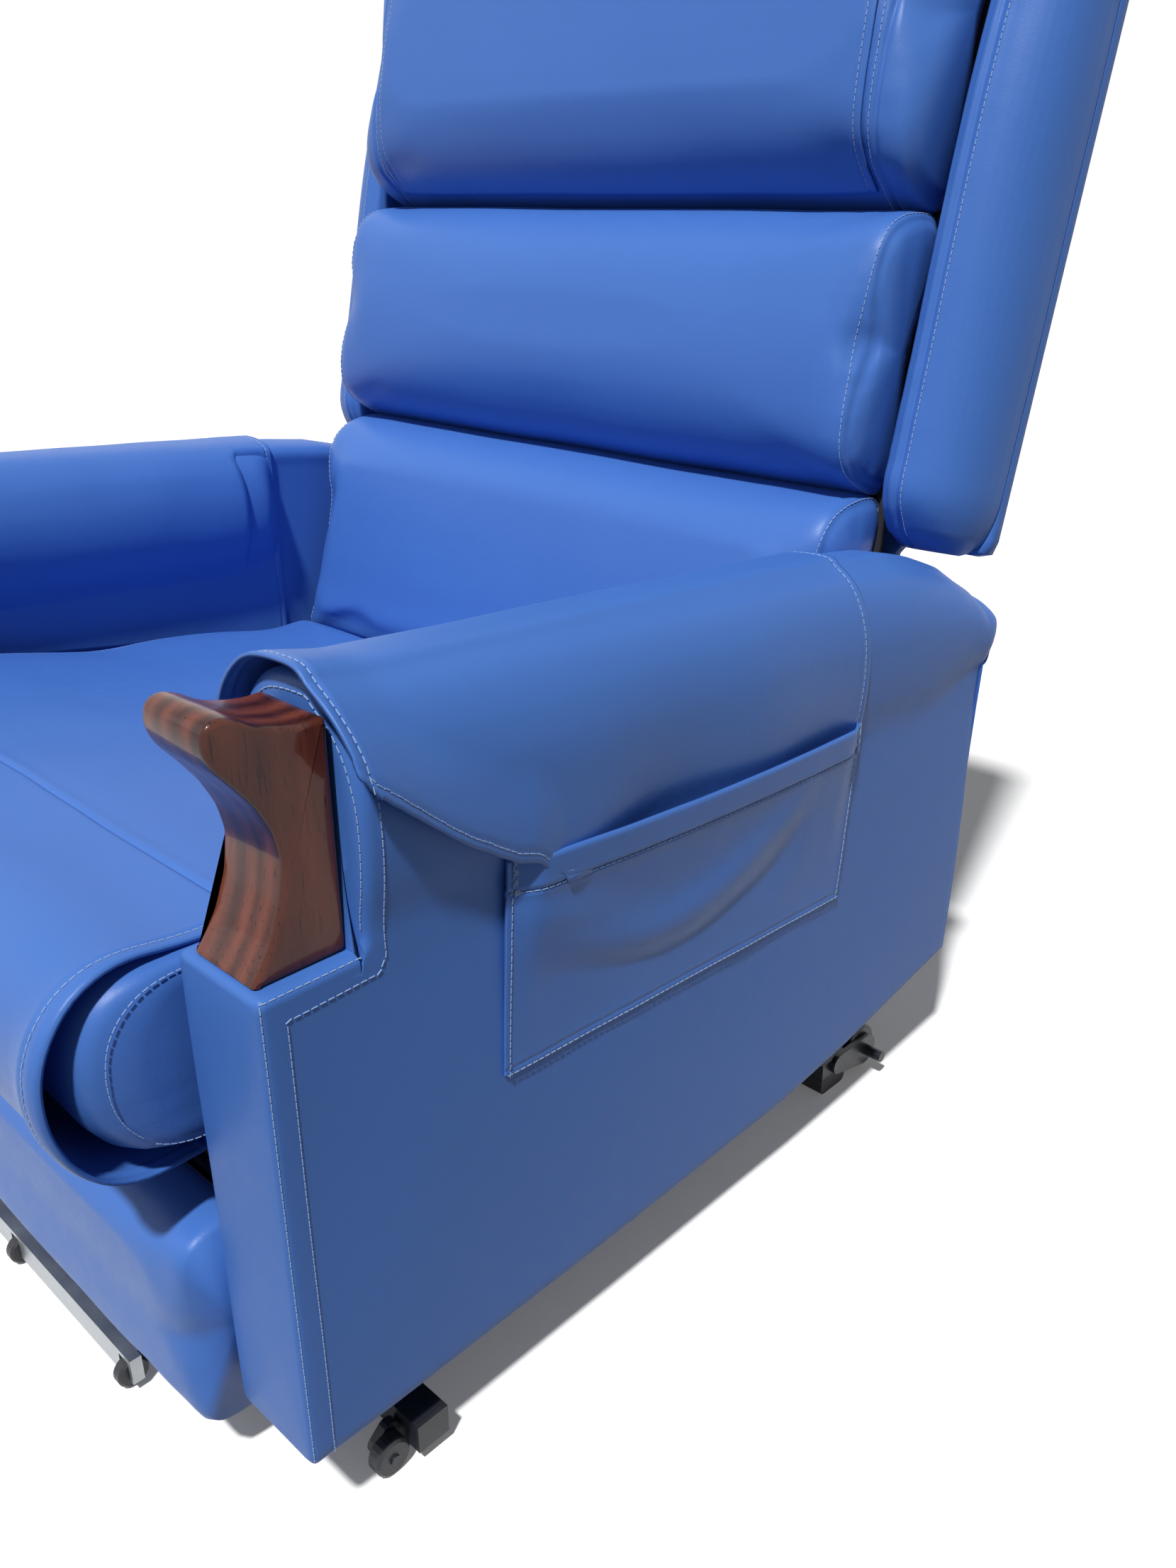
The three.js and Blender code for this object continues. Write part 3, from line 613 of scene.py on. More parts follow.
class Effects:
    """Shader groups that several finishes share."""

    def __init__(self) -> None:
        """Build each group once."""
        self.grain = self._grain()
        self.wood = self._wood()
        self.dust = self._dust()

    @staticmethod
    def _noise(t: bpy.types.NodeTree, vector: bpy.types.NodeSocket, scale: bpy.types.NodeSocket | float,
               detail: float, rough: float = 0.5) -> bpy.types.NodeSocket:
        """Noise node fed by a vector and a scale.

        Args:
            t: tree it goes in.
            vector: places.
            scale: socket or number.
            detail: octaves.
            rough: strength of the finer octaves.
        Returns:
            The node's value.
        """
        n = t.nodes.new("ShaderNodeTexNoise")
        n.inputs["Detail"].default_value, n.inputs["Roughness"].default_value = detail, rough
        t.links.new(vector, n.inputs["Vector"])
        if isinstance(scale, bpy.types.NodeSocket):
            t.links.new(scale, n.inputs["Scale"])
        else:
            n.inputs["Scale"].default_value = scale
        return n.outputs["Fac"]

    def _grain(self) -> bpy.types.NodeTree:
        """Grain of coated cloth: fine pebbles, faint clouding and soft creases."""
        t = bpy.data.node_groups.new("VinylGrain", "ShaderNodeTree")
        socket(t, "Light Colour", "NodeSocketColor", "INPUT", (0.1, 0.2, 0.5, 1))
        socket(t, "Dark Colour", "NodeSocketColor", "INPUT", (0.08, 0.17, 0.42, 1))
        socket(t, "Pebble Scale", "NodeSocketFloat", "INPUT", 700.0)
        socket(t, "Roughness", "NodeSocketFloat", "INPUT", 0.45)
        socket(t, "Colour", "NodeSocketColor", "OUTPUT")
        socket(t, "Roughness", "NodeSocketFloat", "OUTPUT")
        socket(t, "Height", "NodeSocketFloat", "OUTPUT")
        src, out = t.nodes.new("NodeGroupInput"), t.nodes.new("NodeGroupOutput")
        co = t.nodes.new("ShaderNodeTexCoord").outputs["Object"]
        cloud = self._noise(t, co, 5.0, 4.0)
        mottle = self._noise(t, co, 60.0, 5.0, 0.6)
        pebble = t.nodes.new("ShaderNodeTexVoronoi")
        pebble.feature = "SMOOTH_F1"
        t.links.new(co, pebble.inputs["Vector"])
        t.links.new(src.outputs["Pebble Scale"], pebble.inputs["Scale"])
        fine = self._noise(t, co, 1500.0, 2.0)
        mix = t.nodes.new("ShaderNodeMix")
        mix.data_type = "RGBA"
        both = math_node(t, "ADD", math_node(t, "MULTIPLY", cloud, 0.6),
                         math_node(t, "MULTIPLY", mottle, 0.4))
        t.links.new(both, mix.inputs["Factor"])
        t.links.new(src.outputs["Dark Colour"], mix.inputs["A"])
        t.links.new(src.outputs["Light Colour"], mix.inputs["B"])
        t.links.new(mix.outputs["Result"], out.inputs["Colour"])
        rough = math_node(t, "ADD", src.outputs["Roughness"],
                          math_node(t, "MULTIPLY", math_node(t, "SUBTRACT", mottle, 0.5), 0.14))
        t.links.new(rough, out.inputs["Roughness"])
        crease = self._noise(t, co, 38.0, 3.0, 0.55)
        height = math_node(t, "ADD", math_node(t, "MULTIPLY", pebble.outputs["Distance"], 0.55),
                           math_node(t, "ADD", math_node(t, "MULTIPLY", fine, 0.2),
                                     math_node(t, "MULTIPLY", crease, 1.6)))
        t.links.new(height, out.inputs["Height"])
        return t

    def _wood(self) -> bpy.types.NodeTree:
        """Long grain of stained beech: streaks, short flecks and darker bands."""
        t = bpy.data.node_groups.new("StainedGrain", "ShaderNodeTree")
        socket(t, "Light Colour", "NodeSocketColor", "INPUT", (0.16, 0.035, 0.02, 1))
        socket(t, "Dark Colour", "NodeSocketColor", "INPUT", (0.03, 0.006, 0.005, 1))
        socket(t, "Colour", "NodeSocketColor", "OUTPUT")
        socket(t, "Height", "NodeSocketFloat", "OUTPUT")
        src, out = t.nodes.new("NodeGroupInput"), t.nodes.new("NodeGroupOutput")
        co = t.nodes.new("ShaderNodeTexCoord").outputs["Object"]
        stretch = t.nodes.new("ShaderNodeMapping")
        stretch.inputs["Scale"].default_value = (26.0, 11.0, 2.2)
        stretch.inputs["Rotation"].default_value = (0.16, 0.05, 0.0)
        t.links.new(co, stretch.inputs["Vector"])
        streak = self._noise(t, stretch.outputs[0], 3.0, 6.0, 0.62)
        fleck_map = t.nodes.new("ShaderNodeMapping")
        fleck_map.inputs["Scale"].default_value = (260.0, 260.0, 22.0)
        t.links.new(co, fleck_map.inputs["Vector"])
        fleck = self._noise(t, fleck_map.outputs[0], 2.0, 2.0)
        band = t.nodes.new("ShaderNodeTexWave")
        band.wave_type, band.bands_direction = "BANDS", "X"
        band.inputs["Scale"].default_value = 0.55
        band.inputs["Distortion"].default_value = 6.0
        band.inputs["Detail"].default_value = 3.0
        t.links.new(stretch.outputs[0], band.inputs["Vector"])
        tone = math_node(t, "ADD", math_node(t, "MULTIPLY", streak, 0.75),
                         math_node(t, "MULTIPLY", band.outputs["Fac"], 0.3))
        flecks = math_node(t, "MULTIPLY", math_node(t, "GREATER_THAN", fleck, 0.63), 0.18)
        tone = math_node(t, "SUBTRACT", tone, flecks)
        ramp = t.nodes.new("ShaderNodeMapRange")
        ramp.inputs["From Min"].default_value, ramp.inputs["From Max"].default_value = 0.3, 0.78
        t.links.new(tone, ramp.inputs["Value"])
        mix = t.nodes.new("ShaderNodeMix")
        mix.data_type = "RGBA"
        t.links.new(ramp.outputs["Result"], mix.inputs["Factor"])
        t.links.new(src.outputs["Dark Colour"], mix.inputs["A"])
        t.links.new(src.outputs["Light Colour"], mix.inputs["B"])
        t.links.new(mix.outputs["Result"], out.inputs["Colour"])
        t.links.new(tone, out.inputs["Height"])
        return t

    def _dust(self) -> bpy.types.NodeTree:
        """Handling marks for metal, plastic and rubber: cloudy roughness and fine scuffs."""
        t = bpy.data.node_groups.new("HandlingMarks", "ShaderNodeTree")
        socket(t, "Colour", "NodeSocketColor", "INPUT", (0.02, 0.02, 0.02, 1))
        socket(t, "Worn Colour", "NodeSocketColor", "INPUT", (0.1, 0.1, 0.1, 1))
        socket(t, "Roughness", "NodeSocketFloat", "INPUT", 0.4)
        socket(t, "Wear", "NodeSocketFloat", "INPUT", 0.3)
        socket(t, "Colour", "NodeSocketColor", "OUTPUT")
        socket(t, "Roughness", "NodeSocketFloat", "OUTPUT")
        socket(t, "Height", "NodeSocketFloat", "OUTPUT")
        src, out = t.nodes.new("NodeGroupInput"), t.nodes.new("NodeGroupOutput")
        co = t.nodes.new("ShaderNodeTexCoord").outputs["Object"]
        cloud, speck = self._noise(t, co, 30.0, 5.0, 0.6), self._noise(t, co, 420.0, 3.0, 0.7)
        worn = math_node(t, "MULTIPLY", math_node(t, "POWER", cloud, 2.5), src.outputs["Wear"])
        specks = math_node(t, "MULTIPLY", math_node(t, "GREATER_THAN", speck, 0.66), 0.12)
        worn = math_node(t, "ADD", worn, specks)
        mix = t.nodes.new("ShaderNodeMix")
        mix.data_type = "RGBA"
        t.links.new(worn, mix.inputs["Factor"])
        t.links.new(src.outputs["Colour"], mix.inputs["A"])
        t.links.new(src.outputs["Worn Colour"], mix.inputs["B"])
        t.links.new(mix.outputs["Result"], out.inputs["Colour"])
        uneven = math_node(t, "MULTIPLY", math_node(t, "SUBTRACT", cloud, 0.5), 0.3)
        rough = math_node(t, "ADD", src.outputs["Roughness"], uneven)
        t.links.new(rough, out.inputs["Roughness"])
        t.links.new(speck, out.inputs["Height"])
        return t


@dataclass(frozen=True)
class Finish:
    """One surface finish: a shared effect with its own values on a Principled shader."""

    name: str
    light: tuple[float, float, float]
    dark: tuple[float, float, float]
    roughness: float
    metallic: float = 0.0
    coat: float = 0.0
    bump: float = 0.12 * MM
    effect: str = "grain"
    scale: float = 700.0
    wear: float = 0.3
    specular: float = 0.5

    def build(self, effects: Effects) -> bpy.types.Material:
        """Make the material.

        Args:
            effects: the shared shader groups.
        Returns:
            The material.
        """
        m = bpy.data.materials.new(self.name)
        m.use_nodes = True
        t = m.node_tree
        p = t.nodes["Principled BSDF"]
        g = t.nodes.new("ShaderNodeGroup")
        g.node_tree = {"grain": effects.grain, "wood": effects.wood, "marks": effects.dust}[self.effect]
        if self.effect == "marks":
            g.inputs["Colour"].default_value = (*self.dark, 1)
            g.inputs["Worn Colour"].default_value = (*self.light, 1)
            g.inputs["Wear"].default_value = self.wear
        else:
            g.inputs["Light Colour"].default_value = (*self.light, 1)
            g.inputs["Dark Colour"].default_value = (*self.dark, 1)
        if self.effect == "grain":
            g.inputs["Pebble Scale"].default_value = self.scale
        if "Roughness" in g.inputs:
            g.inputs["Roughness"].default_value = self.roughness
            t.links.new(g.outputs["Roughness"], p.inputs["Roughness"])
        else:
            p.inputs["Roughness"].default_value = self.roughness
        t.links.new(g.outputs["Colour"], p.inputs["Base Color"])
        p.inputs["Metallic"].default_value = self.metallic
        p.inputs["Coat Weight"].default_value = self.coat
        p.inputs["Coat Roughness"].default_value = 0.06
        p.inputs["Specular IOR Level"].default_value = self.specular
        bump = t.nodes.new("ShaderNodeBump")
        bump.inputs["Strength"].default_value = 1.0
        bump.inputs["Distance"].default_value = self.bump
        t.links.new(g.outputs["Height"], bump.inputs["Height"])
        t.links.new(bump.outputs["Normal"], p.inputs["Normal"])
        return m


class Palette:
    """Every finish on the chair."""

    def __init__(self, effects: Effects) -> None:
        """Build the materials.

        Args:
            effects: the shared shader groups.
        """
        blue, deep = (0.066, 0.188, 0.575), (0.055, 0.163, 0.515)
        make = lambda *a, **k: Finish(*a, **k).build(effects)
        self.vinyl = make("blue_vinyl", blue, deep, Sheen.SEAT.value, specular=0.3)
        self.panel = make("blue_vinyl_panel", blue, deep, Sheen.PANEL.value, specular=0.28)
        self.rear = make("blue_vinyl_rear", blue, deep, Sheen.BACK.value, scale=620.0, specular=0.28)
        self.thread = make("pale_thread", (0.36, 0.5, 0.72), (0.27, 0.4, 0.62), 0.6, bump=0.05 * MM,
                           scale=2500.0)
        self.wood = make("stained_beech", (0.2, 0.052, 0.032), (0.035, 0.009, 0.007), 0.3, coat=0.35,
                         bump=0.03 * MM, effect="wood", specular=0.15)
        self.ply = make("birch_ply", (0.5, 0.36, 0.2), (0.32, 0.21, 0.1), 0.6, bump=0.05 * MM,
                        effect="wood")
        self.steel = make("black_painted_steel", (0.09, 0.1, 0.12), (0.012, 0.014, 0.022), 0.38, effect="marks",
                          bump=0.02 * MM, wear=0.35)
        self.zinc = make("zinc_plate", (0.62, 0.64, 0.62), (0.34, 0.36, 0.38), 0.36, metallic=0.9, effect="marks",
                         bump=0.02 * MM, wear=1.0)
        self.plastic = make("black_plastic", (0.1, 0.1, 0.11), (0.014, 0.015, 0.02), 0.42, effect="marks",
                            bump=0.03 * MM, wear=0.25)
        self.rubber = make("black_rubber", (0.11, 0.11, 0.115), (0.02, 0.02, 0.023), 0.68, effect="marks",
                           bump=0.06 * MM, wear=0.5)
        # near-black finish for the sheets that paint the shade in the gaps under the seat front and between the back
        # pillows
        self.painted_shade_sheet = make("black_painted_shade", (0.02, 0.02, 0.026), (0.01, 0.01, 0.014), 0.85, scale=1200.0)


def dress(obj: bpy.types.Object, material: bpy.types.Material) -> None:
    """Give an object one finish."""
    obj.data.materials.clear()
    obj.data.materials.append(material)


# ------------------------------------------------------------------ places taken from the frame
def smooth(lo: float, hi: float, x: np.ndarray | float) -> np.ndarray | float:
    """Soft step from 0 at lo to 1 at hi."""
    t = np.clip((np.asarray(x, float) - lo) / (hi - lo), 0, 1)
    return t * t * (3 - 2 * t)


def curve_through(points: Sequence[Sequence[float]], count: int, sharp: bool = False) -> np.ndarray:
    """Even points along a smooth line through the given ones.

    Args:
        points: the points to pass through.
        count: number of points wanted.
        sharp: straight stretches instead of a smooth line.
    Returns:
        (count, n) places.
    """
    p = np.array(points, float)
    if not sharp:
        us = np.linspace(0, len(p) - 1, 12 * len(p))
        p = Grid(p[:, None, :]).at(us, np.array([0.0])).points[:, 0] if p.shape[1] == 3 else \
            Grid(np.column_stack([p, np.zeros(len(p))])[:, None, :]).at(us, np.array([0.0])).points[:, 0, :2]
    step = np.r_[0, np.cumsum(np.linalg.norm(np.diff(p, axis=0), axis=1))]
    at = np.linspace(0, step[-1], count)
    return np.stack([np.interp(at, step, p[:, k]) for k in range(p.shape[1])], 1)


@dataclass
class Places:
    """Main places of the chair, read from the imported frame."""

    rake: float = math.radians(13.8)
    arm_fall: float = 0.0576
    seat_fall: float = 0.143

    def __post_init__(self) -> None:
        """Read the boxes of the pieces that set everything else."""
        near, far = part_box("side_panel_left")
        self.panel_in, self.panel_front, self.panel_low = near
        self.panel_out, self.panel_rear = far[0], far[1]
        (_, _, self.step_top), (_, self.step_back, _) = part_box("knuckle_left")
        self.arm_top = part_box("arm_roll_left")[1][2]
        low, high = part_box("back_shaft")
        self.hinge = (0.5 * (low[1] + high[1]), 0.5 * (low[2] + high[2]))
        self.cushion_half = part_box("seat_cushion")[1][0]

    def arm_line(self, y: np.ndarray | float) -> np.ndarray | float:
        """Height of the arm's top line at a place along it."""
        return self.arm_top - self.arm_fall * (np.asarray(y) - self.step_back)

    def lean(self, local: np.ndarray) -> np.ndarray:
        """Backrest places (x, depth, height along the lean) as places in the frame.

        Args:
            local: (..., 3) backrest places.
        Returns:
            (..., 3) places in the frame.
        """
        c, s = math.cos(self.rake), math.sin(self.rake)
        x, d, h = local[..., 0], local[..., 1], local[..., 2]
        return np.stack([x, self.hinge[0] + d * c + h * s, self.hinge[1] - d * s + h * c], -1)

    def unlean(self, yz: np.ndarray) -> np.ndarray:
        """(y, z) places in the frame as (depth, height along the lean).

        Args:
            yz: (..., 2) places in the frame.
        Returns:
            (..., 2) backrest places.
        """
        c, s = math.cos(self.rake), math.sin(self.rake)
        y, z = yz[..., 0] - self.hinge[0], yz[..., 1] - self.hinge[1]
        return np.stack([y * c - z * s, y * s + z * c], -1)


def seamed(grid: Grid, seams: Sequence[float], step: float, columns: int, depth: float, seed: float) -> Grid:
    """Refine a padded ring net and press its seams in.

    Args:
        grid: coarse net whose rows run along x.
        seams: x of each seam.
        step: usual spacing of the rows.
        columns: points round each row.
        depth: depth of a seam.
        seed: shifts the puckers.
    Returns:
        The fine net.
    """
    xs = grid.points[:, :, 0].mean(1)
    lo, hi = xs[0], xs[-1]
    want = lo + ladder(hi - lo, step, [x - lo for x in seams])
    us = np.interp(want, xs, np.arange(len(xs)))
    fine = grid.at(us, np.arange(columns) * grid.points.shape[1] / columns)
    out = outward(fine)
    height = 0.0011 * ripple(fine.points, 0.11, seed)
    for seam in seams:
        gap = fine.points[..., 0] - seam
        height = height + groove(gap, depth, 2.0 * MM)
        stretched = fine.points * np.array([0.35, 1.0, 1.0])
        height += 0.0009 * np.exp(-(gap / 0.016) ** 2) * ripple(stretched, 0.016, seed + 3)
    return fine.moved(height, out)


def outward(grid: Grid) -> float:
    """1 when the net's normals point out of the form, else -1."""
    middle = grid.points.reshape(-1, 3).mean(0)
    return 1.0 if float((grid.normals() * (grid.points - middle)).sum()) > 0 else -1.0


def line_on(grid: Grid, x: float, lift: float = 0.5 * MM, spread: slice = slice(None)) -> np.ndarray:
    """Line round a padded net at one x, just above its surface.

    Args:
        grid: the fine net.
        x: place of the line.
        lift: height above the surface.
        spread: which columns the line takes.
    Returns:
        Points of the line.
    """
    xs = grid.points[:, :, 0].mean(1)
    u = float(np.interp(x, xs, np.arange(len(xs))))
    normals = Grid(grid.normals() * outward(grid), True)
    row = grid.at(np.array([u]), np.arange(grid.points.shape[1])).points[0]
    out = normals.at(np.array([u]), np.arange(grid.points.shape[1])).points[0]
    return (row + out * lift)[spread]


def laid_on(obj: bpy.types.Object, path: np.ndarray, way: Sequence[float], lift: float = 0.5 * MM) -> np.ndarray:
    """Drop a path on a surface.

    Args:
        obj: the piece it lies on.
        path: points outside the piece.
        way: direction towards the piece.
        lift: height above the surface.
    Returns:
        The points that meet the surface.
    """
    mesh = obj.data
    tree = BVHTree.FromPolygons([v.co for v in mesh.vertices], [list(p.vertices) for p in mesh.polygons])
    found = []
    for p in path:
        spot, _, _, _ = tree.ray_cast(Vector(p), Vector(way), 0.4)
        if spot is not None:
            found.append(np.array(spot) - np.array(way) / np.linalg.norm(way) * lift)
    return np.array(found)


# ------------------------------------------------------------------ arms
@dataclass
class Arm:
    """Upholstered arm: side panel and roll in one cover, with its cap, pocket and hand grip."""

    side: str
    places: Places
    edge: float = 5.5 * MM
    columns: tuple[int, int, int, int] = (44, 96, 20, 16)
    cap_thick: float = 2.6 * MM
    pocket_deep: float = 0.168
    pocket_hem: float = 0.0255
    pocket_run: tuple[float, float] = (0.189, 0.609)
    hem: float = 7 * MM

    def __post_init__(self) -> None:
        """Note which side the arm stands on."""
        self.sign = 1 if self.side == "left" else -1

    # ---- the roll's section: distance from the panel's faces against share of the roll's height
    OUTER = ((0.0, 0.0), (1.2, 0.08), (4.5, 0.22), (6.3, 0.39), (5.4, 0.57), (1.0, 0.70), (-5.5, 0.80),
             (-16.0, 0.895), (-31.0, 0.965))
    INNER = ((15.0, 0.985), (-4.0, 0.925), (-20.0, 0.81), (-29.0, 0.65), (-31.0, 0.48), (-27.0, 0.32),
             (-17.0, 0.18), (-6.0, 0.07), (0.0, 0.0))

    def top(self, y: float) -> float:
        """Height of the roll's crown, with its fall at the rear end.

        Args:
            y: place along the arm.
        Returns:
            Height in metres.
        """
        p = self.places
        back = p.panel_rear - y
        line = float(p.arm_line(y))
        drop = np.interp(back, (-0.002, 0.012, 0.045, 0.094, 0.139, 0.2, 0.26),
                         (0.058, 0.045, 0.0285, 0.0135, 0.005, 0.001, 0.0))
        return line - float(drop)

    def roll_low(self, y: float) -> float:
        """Height where the roll meets the flat panel."""
        p = self.places
        return float(p.arm_line(y)) - 0.155 + 0.026 * float(smooth(p.panel_rear - 0.11, p.panel_rear, y))

    def low(self, y: float) -> float:
        """Height of the panel's bottom edge.

        Args:
            y: place along the arm.
        Returns:
            Height in metres.
        """
        p = self.places
        return p.panel_low + float(np.interp(y - p.panel_front, (0, 0.266, 0.4, 0.531, 0.64, 0.738, 0.826),
                                             (0, 0, 0.002, 0.006, 0.018, 0.035, 0.05)))

    def roll_line(self, y: float, count: int, loose: float = 0.0) -> np.ndarray:
        """Section of the roll from the outer side over the top to the inner side.

        Args:
            y: place along the arm.
            count: number of points.
            loose: gap outside the roll.
        Returns:
            (count, 2) places in (x, z).
        """
        p = self.places
        top, low = self.top(y), self.roll_low(y)
        flush = 1 - float(smooth(p.panel_front + 0.575, p.panel_front + 0.612, y))
        rise = top - low
        outer = [(p.panel_out + dx * MM, low + f * rise) for dx, f in self.OUTER]
        inner = [(p.panel_in + dx * MM * (flush if dx < 0 else 1), low + f * rise) for dx, f in self.INNER]
        mid = [(0.5 * (p.panel_in + p.panel_out) + 0.004, top)]
        line = curve_through(outer + mid + inner, 6 * count)
        if loose:
            d = np.gradient(line, axis=0)
            n = np.column_stack([d[:, 1], -d[:, 0]]) / np.linalg.norm(d, axis=1, keepdims=True)
            line = line + n * loose
        return curve_through(line, count, sharp=True)

    def ring(self, y: float, step_part: bool) -> np.ndarray:
        """One closed section of the arm in (x, z).

        Args:
            y: place along the arm.
            step_part: the low front part that carries the grip.
        Returns:
            (columns, 2) places, outer side first.
        """
        p, e = self.places, self.edge
        na, nb, nc, nd = self.columns
        low = self.low(y)
        split = float(np.interp(y, (p.step_back, p.panel_rear), (p.step_top - 0.02, p.step_top - 0.035)))
        if step_part:
            t = p.step_top
            arc = lambda cx, cz, a0, a1: [(cx + e * math.cos(a), cz + e * math.sin(a))
                                          for a in np.linspace(a0, a1, 5)]
            over = [(p.panel_out, split)] + arc(p.panel_out - e, t - e, 0, math.pi / 2)
            over += arc(p.panel_in + e, t - e, math.pi / 2, math.pi) + [(p.panel_in, split)]
            over = curve_through(over, nb, sharp=True)
        else:
            roll = self.roll_line(y, nb - 8)
            up = np.column_stack([np.full(4, p.panel_out), np.linspace(split, self.roll_low(y), 5)[:-1]])
            down = np.column_stack([np.full(4, p.panel_in), np.linspace(self.roll_low(y), split, 5)[1:]])
            over = curve_through(np.vstack([up, roll, down]), nb, sharp=True)
        rise = np.linspace(low + e, split, na + 1)[:-1]
        crown = 0.0022 * np.sin(np.linspace(0.1, math.pi, na)) ** 0.7
        full = float(smooth(p.panel_front, p.panel_front + 0.12, y))
        outer = np.column_stack([p.panel_out + crown * full, rise])
        inner = np.column_stack([np.full(nc, p.panel_in), np.linspace(split, low + e, nc + 1)[1:]])
        turn = np.linspace(0, math.pi / 2, 5)
        arc = [(p.panel_in + e * (1 - math.cos(a)), low + e * (1 - math.sin(a))) for a in turn]
        arc += [(p.panel_out - e * (1 - math.sin(a)), low + e * (1 - math.cos(a))) for a in turn]
        under = curve_through(arc, nd + 2, sharp=True)[1:-1]
        return np.vstack([outer, over, inner, under])

    def cover(self) -> bpy.types.Object:
        """Build the panel and roll as one sewn cover.

        Returns:
            The mesh object.
        """
        p, e = self.places, self.edge
        mid = 0.5 * (p.panel_in + p.panel_out)
        half = 0.5 * (p.panel_out - p.panel_in)
        rows: list[np.ndarray] = []

        def put(y: float, section: np.ndarray) -> None:
            """Add one row."""
            rows.append(np.column_stack([section[:, 0], np.full(len(section), y), section[:, 1]]))

        def shrunk(section: np.ndarray, inset: float, k: float, above: float = -1.0) -> np.ndarray:
            """Section drawn in from its rim, above a height if one is given.

            Args:
                section: closed section in (x, z).
                inset: distance from the rim.
                k: further scale about the middle.
                above: height to start from.
            Returns:
                The new section.
            """
            lo, hi = section[:, 1].min(), section[:, 1].max()
            cz, hz = 0.5 * (lo + hi), 0.5 * (hi - lo)
            out = np.column_stack([mid + (section[:, 0] - mid) * (half - inset) / half * k,
                                   cz + (section[:, 1] - cz) * (hz - inset) / hz * k])
            if above > 0:
                share = smooth(above, above + 0.012, section[:, 1])[:, None]
                moved = np.column_stack([mid + (section[:, 0] - mid) * (half - inset) / half,
                                         np.where(section[:, 1] > cz,
                                                  section[:, 1] - inset * (section[:, 1] - cz) / hz,
                                                  section[:, 1])])
                out = section * (1 - share) + moved * share
            return out

        front = self.ring(p.panel_front, True)
        for k in np.linspace(0, 1, 7)[:-1]:
            put(p.panel_front - 0.002 * (1 - k * k), shrunk(front, e, k))
        for a in np.linspace(0, math.pi / 2, 5):
            put(p.panel_front + e * (1 - math.cos(a)), shrunk(front, e * (1 - math.sin(a)), 1.0))
        for y in np.linspace(p.panel_front + e, p.step_back, 9)[1:]:
            put(y, self.ring(y, True))
        face = p.step_back + 0.004
        rim = 0.009
        rolled = self.ring(face, False)
        for f in (1.0, 0.35):
            inner = shrunk(rolled, rim * 2.2 * f + rim * (1 - f), 1.0, p.step_top)
            put(face + 0.0002 * (1 - f), inner)
        for a in np.linspace(0.15, math.pi / 2, 5):
            y = face + rim * (1 - math.cos(a))
            put(y, shrunk(self.ring(y, False), rim * (1 - math.sin(a)), 1.0, p.step_top))
        for y in np.linspace(face + rim, p.panel_rear - e, 78)[1:]:
            put(y, self.ring(y, False))
        tail = self.ring(p.panel_rear - e, False)
        split = tail[self.columns[0], 1]
        knee = float(self.roll_low(p.panel_rear)) + 0.002
        for a in np.linspace(0.3, math.pi / 2, 4):
            inset = e * (1 - math.cos(a))
            ring = self.ring(p.panel_rear - e + e * math.sin(a), False)
            share = 1 - smooth(split, knee, ring[:, 1])
            ring[:, 0] = mid + (ring[:, 0] - mid) * (1 - inset / half * share)
            put(p.panel_rear - e + e * math.sin(a), ring)
        ring = self.ring(p.panel_rear, False)
        lo = ring[:, 1].min()
        lifted = ring.copy()
        lifted[:, 1] = np.where(ring[:, 1] > knee, ring[:, 1], knee + 0.002 * (ring[:, 1] - lo) / (knee - lo))
        waist = 0.498
        for a in np.linspace(0, math.pi / 2, 10):
            section = np.column_stack([mid + (lifted[:, 0] - mid) * (0.7 + 0.3 * math.cos(a) ** 0.7),
                                       waist + (lifted[:, 1] - waist) * max(math.cos(a), 0.12)])
            put(p.panel_rear + 0.024 * math.sin(a), section)
        rows.append(rows[-1] * [0, 1, 0] + rows[-1].mean(0) * [1, 0, 1] + np.array([0, 0.0015, 0]))
        net = np.array(rows)
        wave = 0.0009 * ripple(net, 0.16, 4.0 + self.sign)
        net = Grid(net, True)
        net = net.moved(wave, outward(net))
        net.points[..., 0] *= self.sign
        return closed_mesh(f"arm_cover_{self.side}", net, math.radians(62))

    def hem_low(self, y: float) -> float:
        """Height of the cap's outer hem: cut up at the front corner, tucked in the pocket behind.

        Args:
            y: place along the arm.
        Returns:
            Height in metres.
        """
        p = self.places
        run = y - p.panel_front
        tucked = self.pocket_top(y) - 0.03
        return float(np.interp(run, (0.066, 0.078, 0.144, 0.187, 0.208, 0.235),
                               (0.578, 0.562, 0.510, 0.482, 0.475, tucked)))

